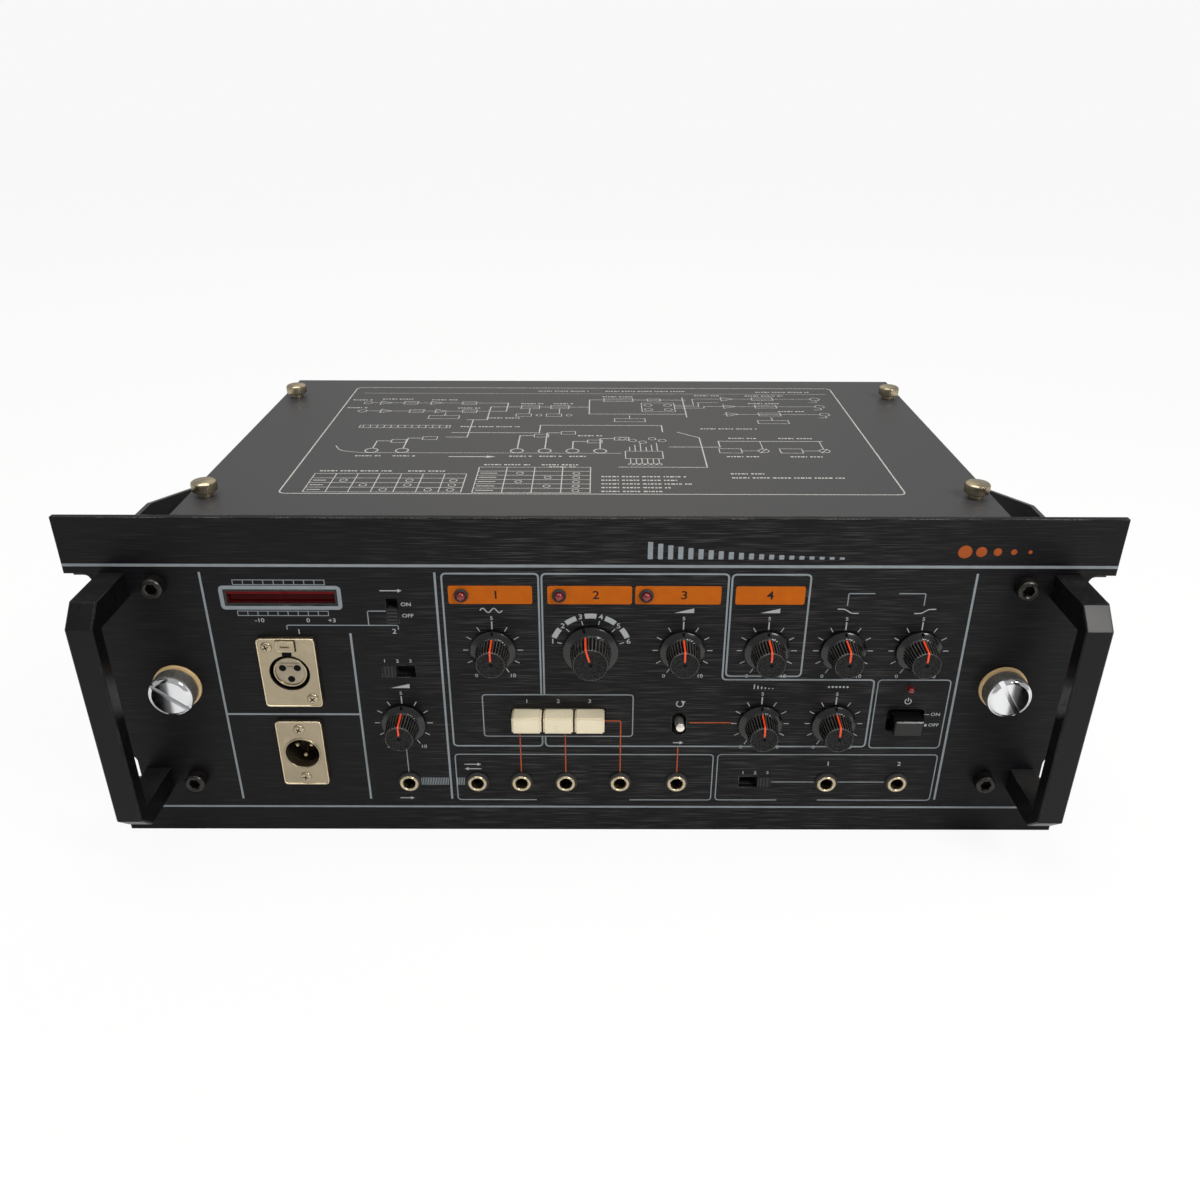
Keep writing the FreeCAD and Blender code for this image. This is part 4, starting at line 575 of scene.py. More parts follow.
class Shape:
    """Points in millimetres and faces, gathered into one mesh.

    A ring is the number of its first point and how many it has. The ridge of a ring pulls one point in
    each period in, and crest is the mark of what lies between. A mark is a face's place among the finishes.
    """

    def __init__(self, period=2, crest=None):
        self.points, self.faces, self.marks = [], [], []
        self.period, self.crest = period, crest

    def add(self, points):
        self.points += points
        return len(self.points) - len(points), len(points)

    def ring(self, steps, radius, height, ridge=0.0, phase=0):
        """A level ring, or a single point where it has no radius."""
        points = []
        for i in range(steps if radius > 0 else 1):
            angle = 2 * pi * i / steps
            reach = radius - ridge * ((i + phase) % self.period == self.period - 1)
            points.append((reach * cos(angle), reach * sin(angle), height))
        return self.add(points)

    def face(self, corners, mark=0):
        self.faces.append(tuple(corners))
        self.marks.append(mark)

    def cap(self, ring, mark=0, turned=False):
        corners = range(ring[0], sum(ring))
        self.face(reversed(corners) if turned else corners, mark)

    def skin(self, one, two, mark=0, ribbed=False):
        """Faces between two rings, the second further along."""
        (first, near), (second, far) = one, two
        steps = max(near, far)
        for i in range(steps):
            j = (i + 1) % steps
            corners = first + i % near, first + j % near, second + j % far, second + i % far
            self.face(dict.fromkeys(corners), self.crest if ribbed and i % self.period == 0 else mark)

    def turned(self, profile, steps, marks=None):
        """Turns points about local Z; each is a radius, a height and, at will, a ridge and a phase."""
        rings = [self.ring(steps, *entry) for entry in profile]
        for k in range(len(rings) - 1):
            ribbed = self.crest is not None and len(profile[k]) > 2 and len(profile[k + 1]) > 2
            self.skin(rings[k], rings[k + 1], marks[k] if marks else 0, ribbed)
        return self

    def box(self, low, high):
        (x0, y0, z0), (x1, y1, z1) = low, high
        foot, top = (self.add([(x, y, z) for x, y in corners_of(x0, x1, y0, y1)]) for z in (z0, z1))
        self.cap(foot, turned=True)
        self.cap(top)
        self.skin(foot, top)
        return self

    def weld(self, part, move):
        """Adds another shape, with each point moved by a function."""
        first, _ = self.add([tuple(move(point)) for point in part.points])
        self.faces += [tuple(first + i for i in face) for face in part.faces]
        self.marks += part.marks

    def mesh(self, name, bevel=0.0, segments=2, outward=False):
        """The mesh in metres; sharp edges are bevelled and faces turned outward where that is asked."""
        mesh = bpy.data.meshes.new(name)
        mesh.from_pydata([tuple(v * MM for v in point) for point in self.points], [], self.faces)
        for face, mark in zip(mesh.polygons, self.marks):
            face.material_index = mark
        work = bmesh.new()
        work.from_mesh(mesh)
        if bevel:
            sharp = [e for e in work.edges if len(e.link_faces) == 2 and e.calc_face_angle(0.0) > 0.6]
            bmesh.ops.bevel(
                work, geom=sharp, offset=bevel * MM, segments=segments, affect="EDGES", clamp_overlap=True
            )
        if outward:
            bmesh.ops.recalc_face_normals(work, faces=work.faces)
        if bevel or outward:
            work.to_mesh(mesh)
        work.free()
        mesh.validate()
        return mesh

    def piece(self, name, body, slot, *finishes, bevel=0.0, segments=2, outward=False, **how):
        return new_piece(name, self.mesh(name, bevel, segments, outward), body, slot, *finishes, **how)


def rim_shape(x, z, wide, tall, corner, width, level, proud):
    """A rounded ridge along the inside of a rounded rectangle, standing off a plane that faces front."""
    shape = Shape()
    last = None
    for inset, up in ((0.0, 0.0), (0.12, 0.7), (0.3, 1.0), (0.6, 1.0), (0.85, 0.6), (1.0, 0.0)):
        away = inset * width
        corners = corners_of(x - wide + away, x + wide - away, z - tall + away, z + tall - away)
        route = round_route(corners, max(0.1, corner - away), True)
        ring = shape.add([(point.x, level - up * proud, point.y) for point in route])
        if last:
            shape.skin(last, ring)
        last = ring
    return shape


def sleeve(x, z, wide, tall, wall, front, back, tall_sides):
    """Four walls round a rectangle; its sides stand full tall, or its top and foot run full wide."""
    shape = Shape()
    for sign in (-1, 1):
        side = sorted(x + sign * reach for reach in (wide, wide - wall))
        level = sorted(z + sign * reach for reach in (tall, tall - wall))
        if tall_sides:
            shape.box((side[0], front, z - tall), (side[1], back, z + tall))
            shape.box((x - wide + wall, front, level[0]), (x + wide - wall, back, level[1]))
        else:
            shape.box((x - wide, front, level[0]), (x + wide, back, level[1]))
            shape.box((side[0], front, z - tall + wall), (side[1], back, z + tall - wall))
    return shape


class Print:
    """Flat inked shapes in one plane, gathered into one mesh."""

    glyphs = {}
    front = True

    def __init__(self):
        self.points, self.faces = [], []

    def polygon(self, corners):
        corners = [Vector(corner[:2]) for corner in corners]
        area = sum(a.x * b.y - b.x * a.y for a, b in zip(corners, corners[1:] + corners[:1]))
        if area < 0:
            corners.reverse()
        first = len(self.points)
        height = 0.02 * (len(self.faces) * 0.618 % 1.0)  # shapes that cross don't share a plane
        self.points += [(corner.x, corner.y, height) for corner in corners]
        self.faces.append(tuple(range(first, first + len(corners))))

    def bar(self, start, end, width):
        start, end = Vector(start), Vector(end)
        along = (end - start).normalized()
        across = Vector((-along.y, along.x)) * (width / 2)
        self.polygon((start - across, end - across, end + across, start + across))

    def path(self, points, width, radius=0.0, closed=False):
        """A line of even width through the points, with round corners where radius is set."""
        route = round_route(points, radius, closed)
        sides = []
        count = len(route)
        for i, point in enumerate(route):
            ways = []
            if closed or i > 0:
                ways.append((point - route[i - 1]).normalized())
            if closed or i < count - 1:
                ways.append((route[(i + 1) % count] - point).normalized())
            along = sum(ways, Vector((0.0, 0.0))).normalized()
            across = Vector((-along.y, along.x))
            reach = width / 2 / max(0.5, abs(along.dot(ways[0])))
            sides.append((point + across * reach, point - across * reach))
        for (a, b), (c, d) in zip(sides, sides[1:] + sides[:1] if closed else sides[1:]):
            self.polygon((a, b, d, c))

    def outline(self, left, right, low, high, width, radius=0.0):
        self.path(corners_of(left, right, low, high), width, radius, True)

    def block(self, left, right, low, high, radius=0.0):
        self.polygon(round_route(corners_of(left, right, low, high), radius, True))

    def disc(self, x, y, radius, steps=28):
        angles = [2 * pi * i / steps for i in range(steps)]
        self.polygon([(x + radius * cos(a), y + radius * sin(a)) for a in angles])

    def arc(self, x, y, radius, width, start, end, steps=24):
        """Part of a ring; angles run clockwise from the top."""
        inner, outer = radius - width / 2, radius + width / 2
        angles = [radians(start + (end - start) * i / steps) for i in range(steps + 1)]
        for a, b in zip(angles, angles[1:]):
            places = (inner, a), (outer, a), (outer, b), (inner, b)
            self.polygon([(x + r * sin(t), y + r * cos(t)) for r, t in places])

    def ray(self, x, y, angle, near, far, width):
        """A tick that points away from x, y."""
        way = Vector((sin(radians(angle)), cos(radians(angle))))
        self.bar(Vector((x, y)) + way * near, Vector((x, y)) + way * far, width)

    def arrow(self, start, end):
        start, end = Vector(start), Vector(end)
        along = (end - start).normalized()
        across = Vector((-along.y, along.x))
        neck = end - along * 1.9
        self.bar(start, neck, 0.5)
        self.polygon((neck + across * 0.95, end, neck - across * 0.95))

    def text(self, words, x, y, size):
        """Plain numbers or a switch word, centred on x, y."""
        if words not in self.glyphs:
            curve = bpy.data.curves.new("glyph", "FONT")
            curve.body = words
            curve.align_x, curve.align_y = "CENTER", "CENTER"
            curve.resolution_u, curve.offset = 3, 0.012
            holder = put_in_scene("glyph", curve)
            mesh = evaluated_mesh(holder)
            corners = [vertex.co.xy.copy() for vertex in mesh.vertices]
            self.glyphs[words] = [[corners[i] for i in face.vertices] for face in mesh.polygons]
            bpy.data.objects.remove(holder)
            bpy.data.meshes.remove(mesh)
        for outline in self.glyphs[words]:
            self.polygon([(x + corner.x * size * 1.15, y + corner.y * size) for corner in outline])

    def numbers(self, columns, y, size):
        """1, 2, 3 and so on, one at each column."""
        for number, x in enumerate(columns, start=1):
            self.text(str(number), x, y, size)

    def piece(self, name, ink_name, level, body="unit", slot="panel_black"):
        """level is the plane's place in millimetres along the axis that the print faces."""
        mesh = bpy.data.meshes.new(name)
        if self.front:
            points = [(u * MM, (level - up) * MM, v * MM) for u, v, up in self.points]
        else:
            points = [(u * MM, v * MM, (level + up) * MM) for u, v, up in self.points]
        mesh.from_pydata(points, [], self.faces)
        mesh.validate()
        return new_piece(name, mesh, body, slot, ink_name, smooth=0)


class Diagram(Print):
    """Marks of a signal diagram, printed on what faces up."""

    front = False

    def box(self, x, y, width, height):
        self.outline(x - width / 2, x + width / 2, y - height / 2, y + height / 2, FINE)

    def amplifier(self, x, y, size):
        self.path(((x - size, y - size), (x + size, y), (x - size, y + size)), FINE, 0.0, True)

    def circle(self, x, y, radius, steps=18):
        self.arc(x, y, radius, FINE, 0, 360, steps)

    def table(self, left, right, low, high, columns, rows, marks):
        """A ruled table with a ring in some of its cells and a dash in most rows."""
        step, rise = (right - left) / columns, (high - low) / rows
        for i in range(columns + 1):
            self.bar((left + i * step, low), (left + i * step, high), FINE)
        for i in range(rows + 1):
            self.bar((left, low + i * rise), (right, low + i * rise), FINE)
        for column, row in marks:
            centre = (left + (column + 0.5) * step, low + (row + 0.5) * rise)
            self.circle(*centre, min(step, rise) * 0.28, 14)
        for row in range(rows - 1):
            middle = low + (row + 0.5) * rise
            self.bar((left + 1.2, middle), (left + step * 0.7, middle), 0.9)

    def note(self, x, y, length):
        """A row of small plain blocks of uneven length, where a note would stand."""
        end = x + length
        for i in range(60):
            width = (1.6, 0.9, 1.3, 2.0, 0.8, 1.5, 1.1)[i % 7]
            if x + width > end:
                break
            self.block(x, x + width, y - 0.75, y + 0.75)
            x += width + (1.6 if i % 5 == 4 else 0.55)


# ------------------------------------------------------------------ operators
class TAPEECHO_OT_case_finish(bpy.types.Operator):
    """Finish the panel, the handles, the brackets and the case"""

    bl_idname = "tape_echo.case_finish"
    bl_label = "Case finishes"

    def execute(self, context):
        give("anodised_panel", "front_panel")
        give("handle_paint", "handle_left", "handle_right")
        give("bracket_paint", "rack_bracket_left", "rack_bracket_right")
        give("case_paint", "top_cover", "chassis_tray", "rear_panel")
        give("black_plastic", "mains_gland")
        give("aged_nylon", "thumbscrew_washers")
        return {"FINISHED"}


def draw_sections(lines, header, divider):
    """The lines along the top and foot, and the upright dividers."""
    half = CAD_BOX[1][0] / MM - 0.02
    lines.bar((-half, 153.4), (half, 153.4), header)
    lines.bar((-half, 15.0), (half, 15.0), header * 0.8)
    for x, high in ((-179.4, 150), (-113.5, 118), (-71.6, 150), (177.7, 150)):
        lines.bar((x, 20), (x, high), divider)
    lines.bar((-179.4, 72.2), (-113.5, 72.2), divider)


def draw_frames(lines, width):
    """Rounded frames round the groups of controls; some are open where words or plates stand."""
    left = ((-24.1, 83.8), (-24.1, 149.5), (-68.6, 149.5), (-68.6, 53.4), (-24.1, 53.4), (-24.1, 59.3))
    echo = (
        (-22.6, 83.8), (-22.6, 149.5), (63.7, 149.5), (63.7, 92.7), (137.6, 92.7), (137.6, 53.3),
        (-22.6, 53.3), (-22.6, 59.3),
    )
    jacks = ((-28, 19.5), (-68.5, 19.5), (-68.5, 48.2), (61.9, 48.2), (61.9, 19.5), (20, 19.5))
    output = ((96, 19.6), (64.2, 19.6), (64.2, 48.3), (175.2, 48.3), (175.2, 19.6), (117, 19.6))
    lines.path(left, width, 2.2)
    lines.path(echo, width, 2.2)
    lines.outline(65.3, 101.5, 94.7, 149.3, width, 2.2)
    lines.outline(139.6, 174.9, 52.6, 92.7, width * 0.7, 2.2)
    lines.outline(-53, 20.8, 59.3, 83.8, width * 0.65, 1.8)
    lines.path(jacks, width * 0.65, 2.0)
    lines.path(output, width * 0.65, 2.0)


def draw_meter(lines):
    """The frame round the level meter, with a scale of open boxes above and below it."""
    (x, z), line = METER_PLACE, 0.38
    lines.outline(x - 27.3, x + 27.3, z - 5.3, z + 5.3, 1.9, 1.5)
    left, right = x - 21.1, x + 21.2
    for low in (z + 6.9, z - 9.3):
        for row in (low - 0.1, low + 2.3):
            lines.bar((left - line / 2, row), (right + line / 2, row), line)
        for i in range(10):
            lines.bar((left + i * 4.7, low + 0.1), (left + i * 4.7, low + 2.1), line)


def draw_links(lines):
    """Thin lines that join switches, knobs and jacks, two of them hatched."""
    thin = 0.5
    lines.path(((-143.0, 119.9), (-143.0, 122.3), (-90.6, 122.3), (-90.6, 119.9)), thin, 0.8)
    lines.path(((-104.3, 122.3), (-104.3, 129.9), (-95.8, 129.9)), thin, 0.8)
    lines.bar((-92.6, 55.8), (-92.6, 37.2), thin)
    for start, count in ((-86.4, 17), (-68.0, 5)):
        for i in range(count):
            lines.bar((start + i * 0.84, 29.0), (start + i * 0.84, 33.6), 0.4)
    lines.path(((119.7, 133.3), (119.7, 139.7), (131.9, 139.7)), thin, 0.6)
    lines.path(((143.0, 139.7), (155.4, 139.7), (155.4, 133.4)), thin, 0.6)
    for left, right in ((92.7, 114.5), (126.3, 150.5)):
        lines.bar((left, ROW_JACKS), (right, ROW_JACKS), thin)


def draw_dial(dials, x, z, width):
    """Eleven ticks from 0 to 10 with a long one at the top."""
    for i in range(11):
        near, far, wide = (11.3, 15.6, width * 1.5) if i == 5 else (11.7, 14.3, width)
        dials.ray(x, z, -150 + 30 * i, near, far, wide)
    dials.text("5", x, z + 17.2, 2.6)
    dials.text("0", x - 8.6, z - 14.3, 2.7)
    dials.text("10", x + 8.9, z - 14.3, 2.7)


def draw_mode_dial(dials, x, z):
    """Six numbered positions with a band between each two."""
    reach = 18.6
    for i in range(6):
        angle = -75 + 30 * i
        way = radians(angle)
        dials.ray(x, z, angle, 14.2, 16.4, 0.42)
        dials.text(str(i + 1), x + reach * sin(way), z + reach * cos(way), 3.7)
        if i < 5:
            dials.arc(x, z, reach, 2.6, angle + 6.5, angle + 23.5, 8)


def draw_words(dials):
    """Switch words and the plain numbers of the scales."""
    dials.text("ON", -86.0, 133.4, 2.7)
    dials.text("OFF", -85.6, 127.4, 2.7)
    dials.text("ON", 170.2, 72.7, 2.6)
    dials.text("OFF", 170.2, 66.4, 2.6)
    dials.bar((164.6, 72.7), (167.2, 72.7), 0.4)
    dials.block(164.8, 166.8, 65.7, 67.1)
    for words, x in (("-10", -155.3), ("0", -132.5), ("+3", -121.3)):
        dials.text(words, x, 124.8, 3.0)
    for start, row in ((-98.8, 102.7), (77.6, 36.9)):
        dials.numbers([start + 6.2 * i for i in range(3)], row, 2.5)
    dials.numbers((120.4, 156.4), 42.6, 3.4)


def draw_signs(dials):
    """Small signs beside the controls: loudness, waves, tone slopes and echoes."""
    high, low, thin = ROW_HIGH + 21.4, ROW_LOW + 21.4, 0.5
    for x, z in ((-92.6, low), (43.8, high), (84.0, high)):
        dials.polygon(((x - 4.6, z - 1.1), (x + 4.6, z - 1.1), (x + 4.6, z + 1.3)))
    wave = [(-46.5 - 5.2 + 0.52 * i, high + 1.15 * sin(i * pi / 5)) for i in range(21)]
    dials.path(wave, thin)
    for x, rise in ((120.4, -1.1), (156.4, 1.1)):
        slope = (-5.0, -rise), (-1.6, -rise), (1.6, rise), (5.0, rise)
        dials.path([(x + across, high + up) for across, up in slope], thin, 1.0)
    for i in range(6):
        x = 79.6 + 1.8 * i
        dials.bar((x, low - 1.2), (x, low - 1.2 + 2.6 * 0.72**i), 0.6)
        dials.disc(115.9 + 1.8 * i, low, 0.55, 12)
    dials.numbers((-31.3, -15.9, -0.5), 80.0, 3.0)
    dials.arrow((-97.6, 140.6), (-87.4, 140.6))
    dials.arrow((-64.0, 42.0), (-55.6, 42.0))
    dials.arrow((-55.6, 39.2), (-64.0, 39.2))
    dials.arrow((-98.4, 20.6), (-91.0, 20.6))
    x, z = TOGGLE_PLACE
    dials.arc(x, z + 12.0, 1.7, thin, 60, 330, 16)
    dials.polygon(((x + 0.5, z + 13.8), (x + 2.7, z + 13.4), (x + 1.4, z + 11.8)))
    dials.arrow((x - 2.6, z - 11.2), (x + 2.6, z - 11.2))
    x = POWER_PLACE[0]
    dials.arc(x, 80.4, 1.5, thin, 35, 325, 18)
    dials.bar((x, 80.4), (x, 82.5), thin)
    dials.text("1", -137.6, 118.7, 3.6)
    dials.text("2", -92.6, 119.0, 3.6)


def draw_traces(traces):
    """Lines from the push buttons and the toggle to the jacks below them."""
    line, foot = 0.55, 37.2
    for x in (-35.3, -12.7):
        traces.bar((x, 66.0), (x, foot), line)
    traces.path(((7.2, 68.6), (14.9, 68.6), (14.9, foot)), line, 1.0)
    traces.bar((43.8, 52.4), (43.8, foot), line)
    traces.bar((48.8, 67.6), (69.9, 67.6), line)


class TAPEECHO_OT_panel_print(bpy.types.Operator):
    """Print the lines, ticks, numbers and plates on the front panel"""

    bl_idname = "tape_echo.panel_print"
    bl_label = "Panel printing"

    def execute(self, context):
        sizes = chosen("printing")
        level = -sizes.lift / MM
        lines, dots, dials, plates, figures, traces = (Print() for _ in range(6))
        draw_sections(lines, sizes.header / MM, sizes.divider / MM)
        draw_frames(lines, sizes.outline / MM)
        draw_meter(lines)
        draw_links(lines)
        for i in range(20):  # bars that die away to the right, as echoes do
            x = 26.0 + i * 4.6
            lines.block(x, x + 2.3, 157.0, 157.0 + 8.6 * 0.9**i, 0.4)
        for i, radius in enumerate((3.2, 2.5, 1.9, 1.4, 0.9)):
            dots.disc(170.0 + i * 7.4, 161.0, radius)
        for name, (x, z) in KNOB_PLACES.items():
            if name == "knob_mode":
                draw_mode_dial(dials, x, z)
            else:
                draw_dial(dials, x, z, sizes.tick / MM)
        draw_words(dials)
        draw_signs(dials)
        for left, right in ((-66.0, -27.1), (-20.0, 19.2), (20.7, 60.6), (67.3, 99.5)):
            plates.block(left, right, 133.8, 143.3, 1.2)
        figures.numbers((-44.0, 2.5, 43.5, 83.4), ROW_LAMPS, 6.0)
        draw_traces(traces)
        lines.piece("panel_lines", "grey_ink", level)
        dots.piece("header_dots", "dot_ink", level)
        dials.piece("panel_dials", "pale_ink", level)
        plates.piece("effect_plates", "orange_ink", level)
        figures.piece("plate_numbers", "plate_ink", level * 1.6)
        traces.piece("jack_traces", "trace_ink", level * 1.5)
        return {"FINISHED"}


FINE, BOLD = 0.5, 0.68  # strokes of the diagram on the cover
# Each note's left end, middle and length, in millimetres across and along the cover.
COVER_NOTES = (
    (5, 66, 44), (5, 60.9, 40), (5, 55.8, 46), (5, 50.7, 36), (5, 45.6, 30), (71, 70.5, 18), (71, 64.7, 59),
    (-35, 220.8, 34), (8, 220.8, 52), (104, 219.6, 36), (-149, 200, 13), (-149, 183.4, 13), (-131, 202, 22),
    (-100, 200.6, 16), (-82, 183.4, 15), (-44, 193, 15), (-24, 193, 13), (6, 208.4, 22), (64, 211.2, 16),
    (96, 211, 24), (96, 194.4, 20), (112, 178, 16), (-76, 147, 36), (-126, 96.4, 14), (-106, 96.4, 13),
    (-44, 96.4, 13), (-28, 96.4, 12), (-12, 96.4, 11), (-8, 131, 15), (-22, 80, 14), (72, 96.6, 18),
    (106, 96.6, 18), (76, 127, 16), (104, 127, 20), (62, 144, 34), (-139, 73.4, 38), (-94, 73.4, 22),
    (-56, 83.2, 24), (-26, 83.2, 20), (-62, 163.6, 20),
)


def draw_inputs(lines):
    """Two inputs that join, and two stages that they pass."""
    for y, columns in ((194.0, (-127, -112, -96, -76)), (177.0, (-124, -106, -91, -74))):
        lines.bar((-136, y), (-60, y), FINE)
        for i, x in enumerate(columns):
            if i % 2 == 0:
                lines.amplifier(x, y, 3.6)
            else:
                lines.box(x, y, 8.5, 5.6)
        lines.circle(-138.6, y, 2.5)
    lines.path(((-60, 194), (-52, 194), (-52, 186), (-10, 186)), BOLD)
    lines.path(((-60, 177), (-52, 177), (-52, 186)), BOLD)
    lines.path(((-52, 186), (-62, 186), (-62, 160), (-74, 160)), BOLD)
    for x in (-38.0, -20.0):
        lines.box(x, 186, 11, 7)
        lines.bar((x, 182.5), (x, 172), FINE)
        lines.box(x - 3, 169.5, 9, 5)
        lines.circle(x + 6, 169.5, 1.7)


def draw_outputs(lines):
    """A mixer that splits to three outputs."""
    lines.path(((-10, 186), (-2, 186), (-2, 201.5), (58, 201.5)), BOLD)
    lines.path(((-2, 186), (-2, 172.0), (56, 172.0)), BOLD)
    for box in ((16, 201.5, 18, 7), (38, 201.5, 8, 5), (40, 186.0, 20, 18)):
        lines.box(*box)
    for x, y in ((34, 190.5), (46, 190.5), (34, 181.5), (46, 181.5)):
        lines.circle(x, y, 2.4)
    for shift in (0.0, 3.0, 6.0):
        x, low, high = 62 + shift, 190.5 - shift, 204 - 8 * shift / 3
        lines.path(((50, low), (x, low), (x, high), (78, high)), FINE)
    lines.bar((56, 166), (56, 207), BOLD)
    for y in (204.0, 188.0, 172.0):
        lines.bar((78, y), (136, y), FINE)
        lines.amplifier(84, y, 3.8)
        lines.box(106, y, 13, 6)
        lines.circle(139, y, 2.9)
        lines.path(((139, y - 3), (139, y - 6.5), (134, y - 6.5)), FINE)
    for x, y in ((-88, 165.0), (22, 160.0), (106, 157.0)):
        lines.box(x, y, 18, 6)
        lines.bar((x, y + 3), (x, y + 9), FINE)


def draw_loop(lines):
    """A tape path with heads above it and an arrow below."""
    lines.path(((-140, 113), (-136, 104.5), (-123, 101.5), (16, 101.5)), FINE, 5.0)
    for i, x in enumerate((-119, -102.5, -40.5, -25.5, -10.5, 4.5)):
        lines.arc(x, 105.2, 3.4, FINE * 1.4, 0, 360, 20)
        top = 121 + (i % 4) * 5
        lines.path(((x, 108.8), (x, top), (x + 8, top)), BOLD)
        lines.box(x + 12, top, 8, 5)
    lines.path(((-80, 136), (-30, 136), (-30, 150), (40, 150), (40, 138)), BOLD)
    lines.path(((-82, 128), (-70, 128), (-70, 160)), BOLD)
    lines.box(-108, 147, 52, 4.6)
    for i in range(13):
        lines.bar((-132.0 + 4 * i, 144.9), (-132.0 + 4 * i, 149.1), FINE)
    lines.bar((-76, 95.5), (-56, 95.5), 1.0)
    lines.polygon(((-56, 93.9), (-51, 95.5), (-56, 97.1)))


def draw_switches(lines):
    """A six-way selector, and two foot switches with their lamps."""
    lines.box(28, 99, 20, 12)
    for i in range(6):
        x = 20.5 + 3 * i
        lines.bar((x, 93), (x, 86), FINE)
        lines.bar((x, 105), (x, 112 + 3.4 * (i % 3)), FINE)
        lines.circle(x, 84.4, 1.3)
    for i in range(5):
        lines.circle(17.0 + 5.5 * i, 126.0 - 3.0 * (i % 3), 2.1)
    lines.path(((14, 80), (60, 80), (60, 128), (48, 138)), BOLD)
    lines.path(((42, 112), (70, 112), (70, 122), (128, 122)), BOLD)
    for x in (80, 113):
        lines.box(x - 5, 106, 12, 7)
        lines.bar((x + 1, 106), (x + 10, 106), FINE)
        lines.circle(x + 13, 106, 2.8)
        lines.bar((x + 10.8, 102.6), (x + 15.2, 109.4), FINE)
        lines.bar((x + 13, 108.8), (x + 13, 122), FINE)


class TAPEECHO_OT_cover_print(bpy.types.Operator):
    """Print a signal diagram and tables, with no words, on the top cover"""

    bl_idname = "tape_echo.cover_print"
    bl_label = "Cover printing"

    def execute(self, context):
        lines = Diagram()
        lines.outline(-151.9, 153.0, 42.0, 228.0, 0.75, 4.0)
        lines.bar((-145, 215.0), (148, 215.0), 0.45)
        draw_inputs(lines)
        draw_outputs(lines)
        draw_loop(lines)
        draw_switches(lines)
        modes = ((1, 2), (2, 1), (3, 0), (4, 1), (4, 2), (5, 0), (6, 2), (6, 1), (6, 0))
        outputs = ((1, 4), (1, 2), (2, 3), (2, 1), (3, 4), (3, 3), (3, 2), (3, 1), (3, 0))
        lines.table(-140.5, -63.5, 44.0, 69.5, 7, 4, modes)
        lines.table(-58.0, -0.5, 43.6, 79.5, 4, 6, outputs)
        for place in COVER_NOTES:
            lines.note(*place)
        level = COVER_TOP + chosen("printing").lift / MM
        lines.piece("cover_diagram", "cover_ink", level, "cover", "case_paint")
        return {"FINISHED"}


def make_knob(name, place, skirt, waist, crown):
    """A knob by the radii of its skirt and of its grip's foot and top."""
    sizes = chosen("pieces")
    depth = sizes.flute_depth / MM
    profile = (
        (0.0, -9.0), (3.0, -9.0), (3.0, 0.5), (skirt - 0.5, 0.5), (skirt, 0.8), (skirt, 1.9),
        (skirt - 0.7, 2.5), (waist + 0.9, 3.1), (waist + 0.15, 3.5), (waist, 4.0, depth),
        (crown + 0.12, 13.3, depth), (crown - 0.1, 14.1, depth * 0.6), (crown - 0.5, 14.5),
        (crown - 0.7, 14.35), (1.0, 14.35), (0.8, 13.6), (0.0, 13.5),
    )
    # The third finish, a lighter black on the rib crests and the grip's upper edge, is a painted glint.
    finishes = "knob_plastic", "knob_crown", "knob_ribs"
    marks = [0] * 11 + [2, 2, 1, 1, 1]  # the sides, the grip's upper edge and its hollow top
    grip = Shape(period=3, crest=2).turned(profile, sizes.flutes * 3, marks)
    piece = grip.piece(name + "_cap", name, "knob_black", *finishes, place=place, smooth=38.0)
    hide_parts(name)
    make_pointer(name, place, waist, crown, sizes.pointer / MM / 2)
    # A near-black strip on the skirt stands for the skirt's notch: painted shade.
    key = Shape().box((-0.55, skirt - 2.3, 2.2), (0.55, skirt + 0.15, 2.95))  # in line with the pointer
    key.piece(name + "_key", name, "knob_black", "dark_well", place=place, bevel=0.12)


def make_pointer(name, place, waist, crown, half):
    """A painted line up the grip's side and over the crown's edge to near its middle."""
    route = (
        (waist + 0.1, 4.6), (crown + 0.2, 13.2), (crown + 0.02, 14.25), (crown - 0.5, 14.62), (1.9, 14.47)
    )
    inward, level = 0.45, 14.4  # above this level the line lies on the crown
    line = Shape()
    rings = []
    for radius, height in route:
        inner = (radius, height - inward) if height > level else (radius - inward, height)
        outer = (radius, height)
        rings.append(line.add([(-half, *outer), (half, *outer), (half, *inner), (-half, *inner)]))
    for ring, following in zip(rings, rings[1:]):
        line.skin(ring, following)
    line.cap(rings[0], turned=True)
    line.cap(rings[-1])
    line.piece(
        name + "_pointer", name, "knob_black", "pointer_paint", place=place, smooth=50.0, outward=True
    )


class TAPEECHO_OT_knobs(bpy.types.Operator):
    """Make the skirted knobs with fluted grips and orange-red pointers"""

    bl_idname = "tape_echo.knobs"
    bl_label = "Knobs"

    def execute(self, context):
        for name, (x, z) in KNOB_PLACES.items():
            if name == "knob_mode":
                make_knob(name, at(x, 0, z, MODE_REST), skirt=13.2, waist=9.6, crown=8.6)
            else:
                make_knob(name, at(x, 0, z), skirt=10.8, waist=8.0, crown=7.1)
        return {"FINISHED"}


def make_meter_window():
    """A black bezel inside the panel's opening, in front of the filter's edges, and a ledge in it painted a
    brighter red as a painted highlight.
    """
    x, z = METER_PLACE
    wide, tall, wall, face = 25.9, 3.9, 0.75, 1.02
    bezel = sleeve(x, z, wide, tall, wall, front=0.25, back=face, tall_sides=False)
    bezel.piece("meter_bezel", "unit", *BLACK, smooth=0)
    ledge = Shape().box((x - wide + wall, 0.5, z + 1.7), (x + wide - wall, face, z + tall - wall))
    ledge.piece("meter_ledge", "unit", "red_filter", "meter_ledge", bevel=0.1, smooth=0)


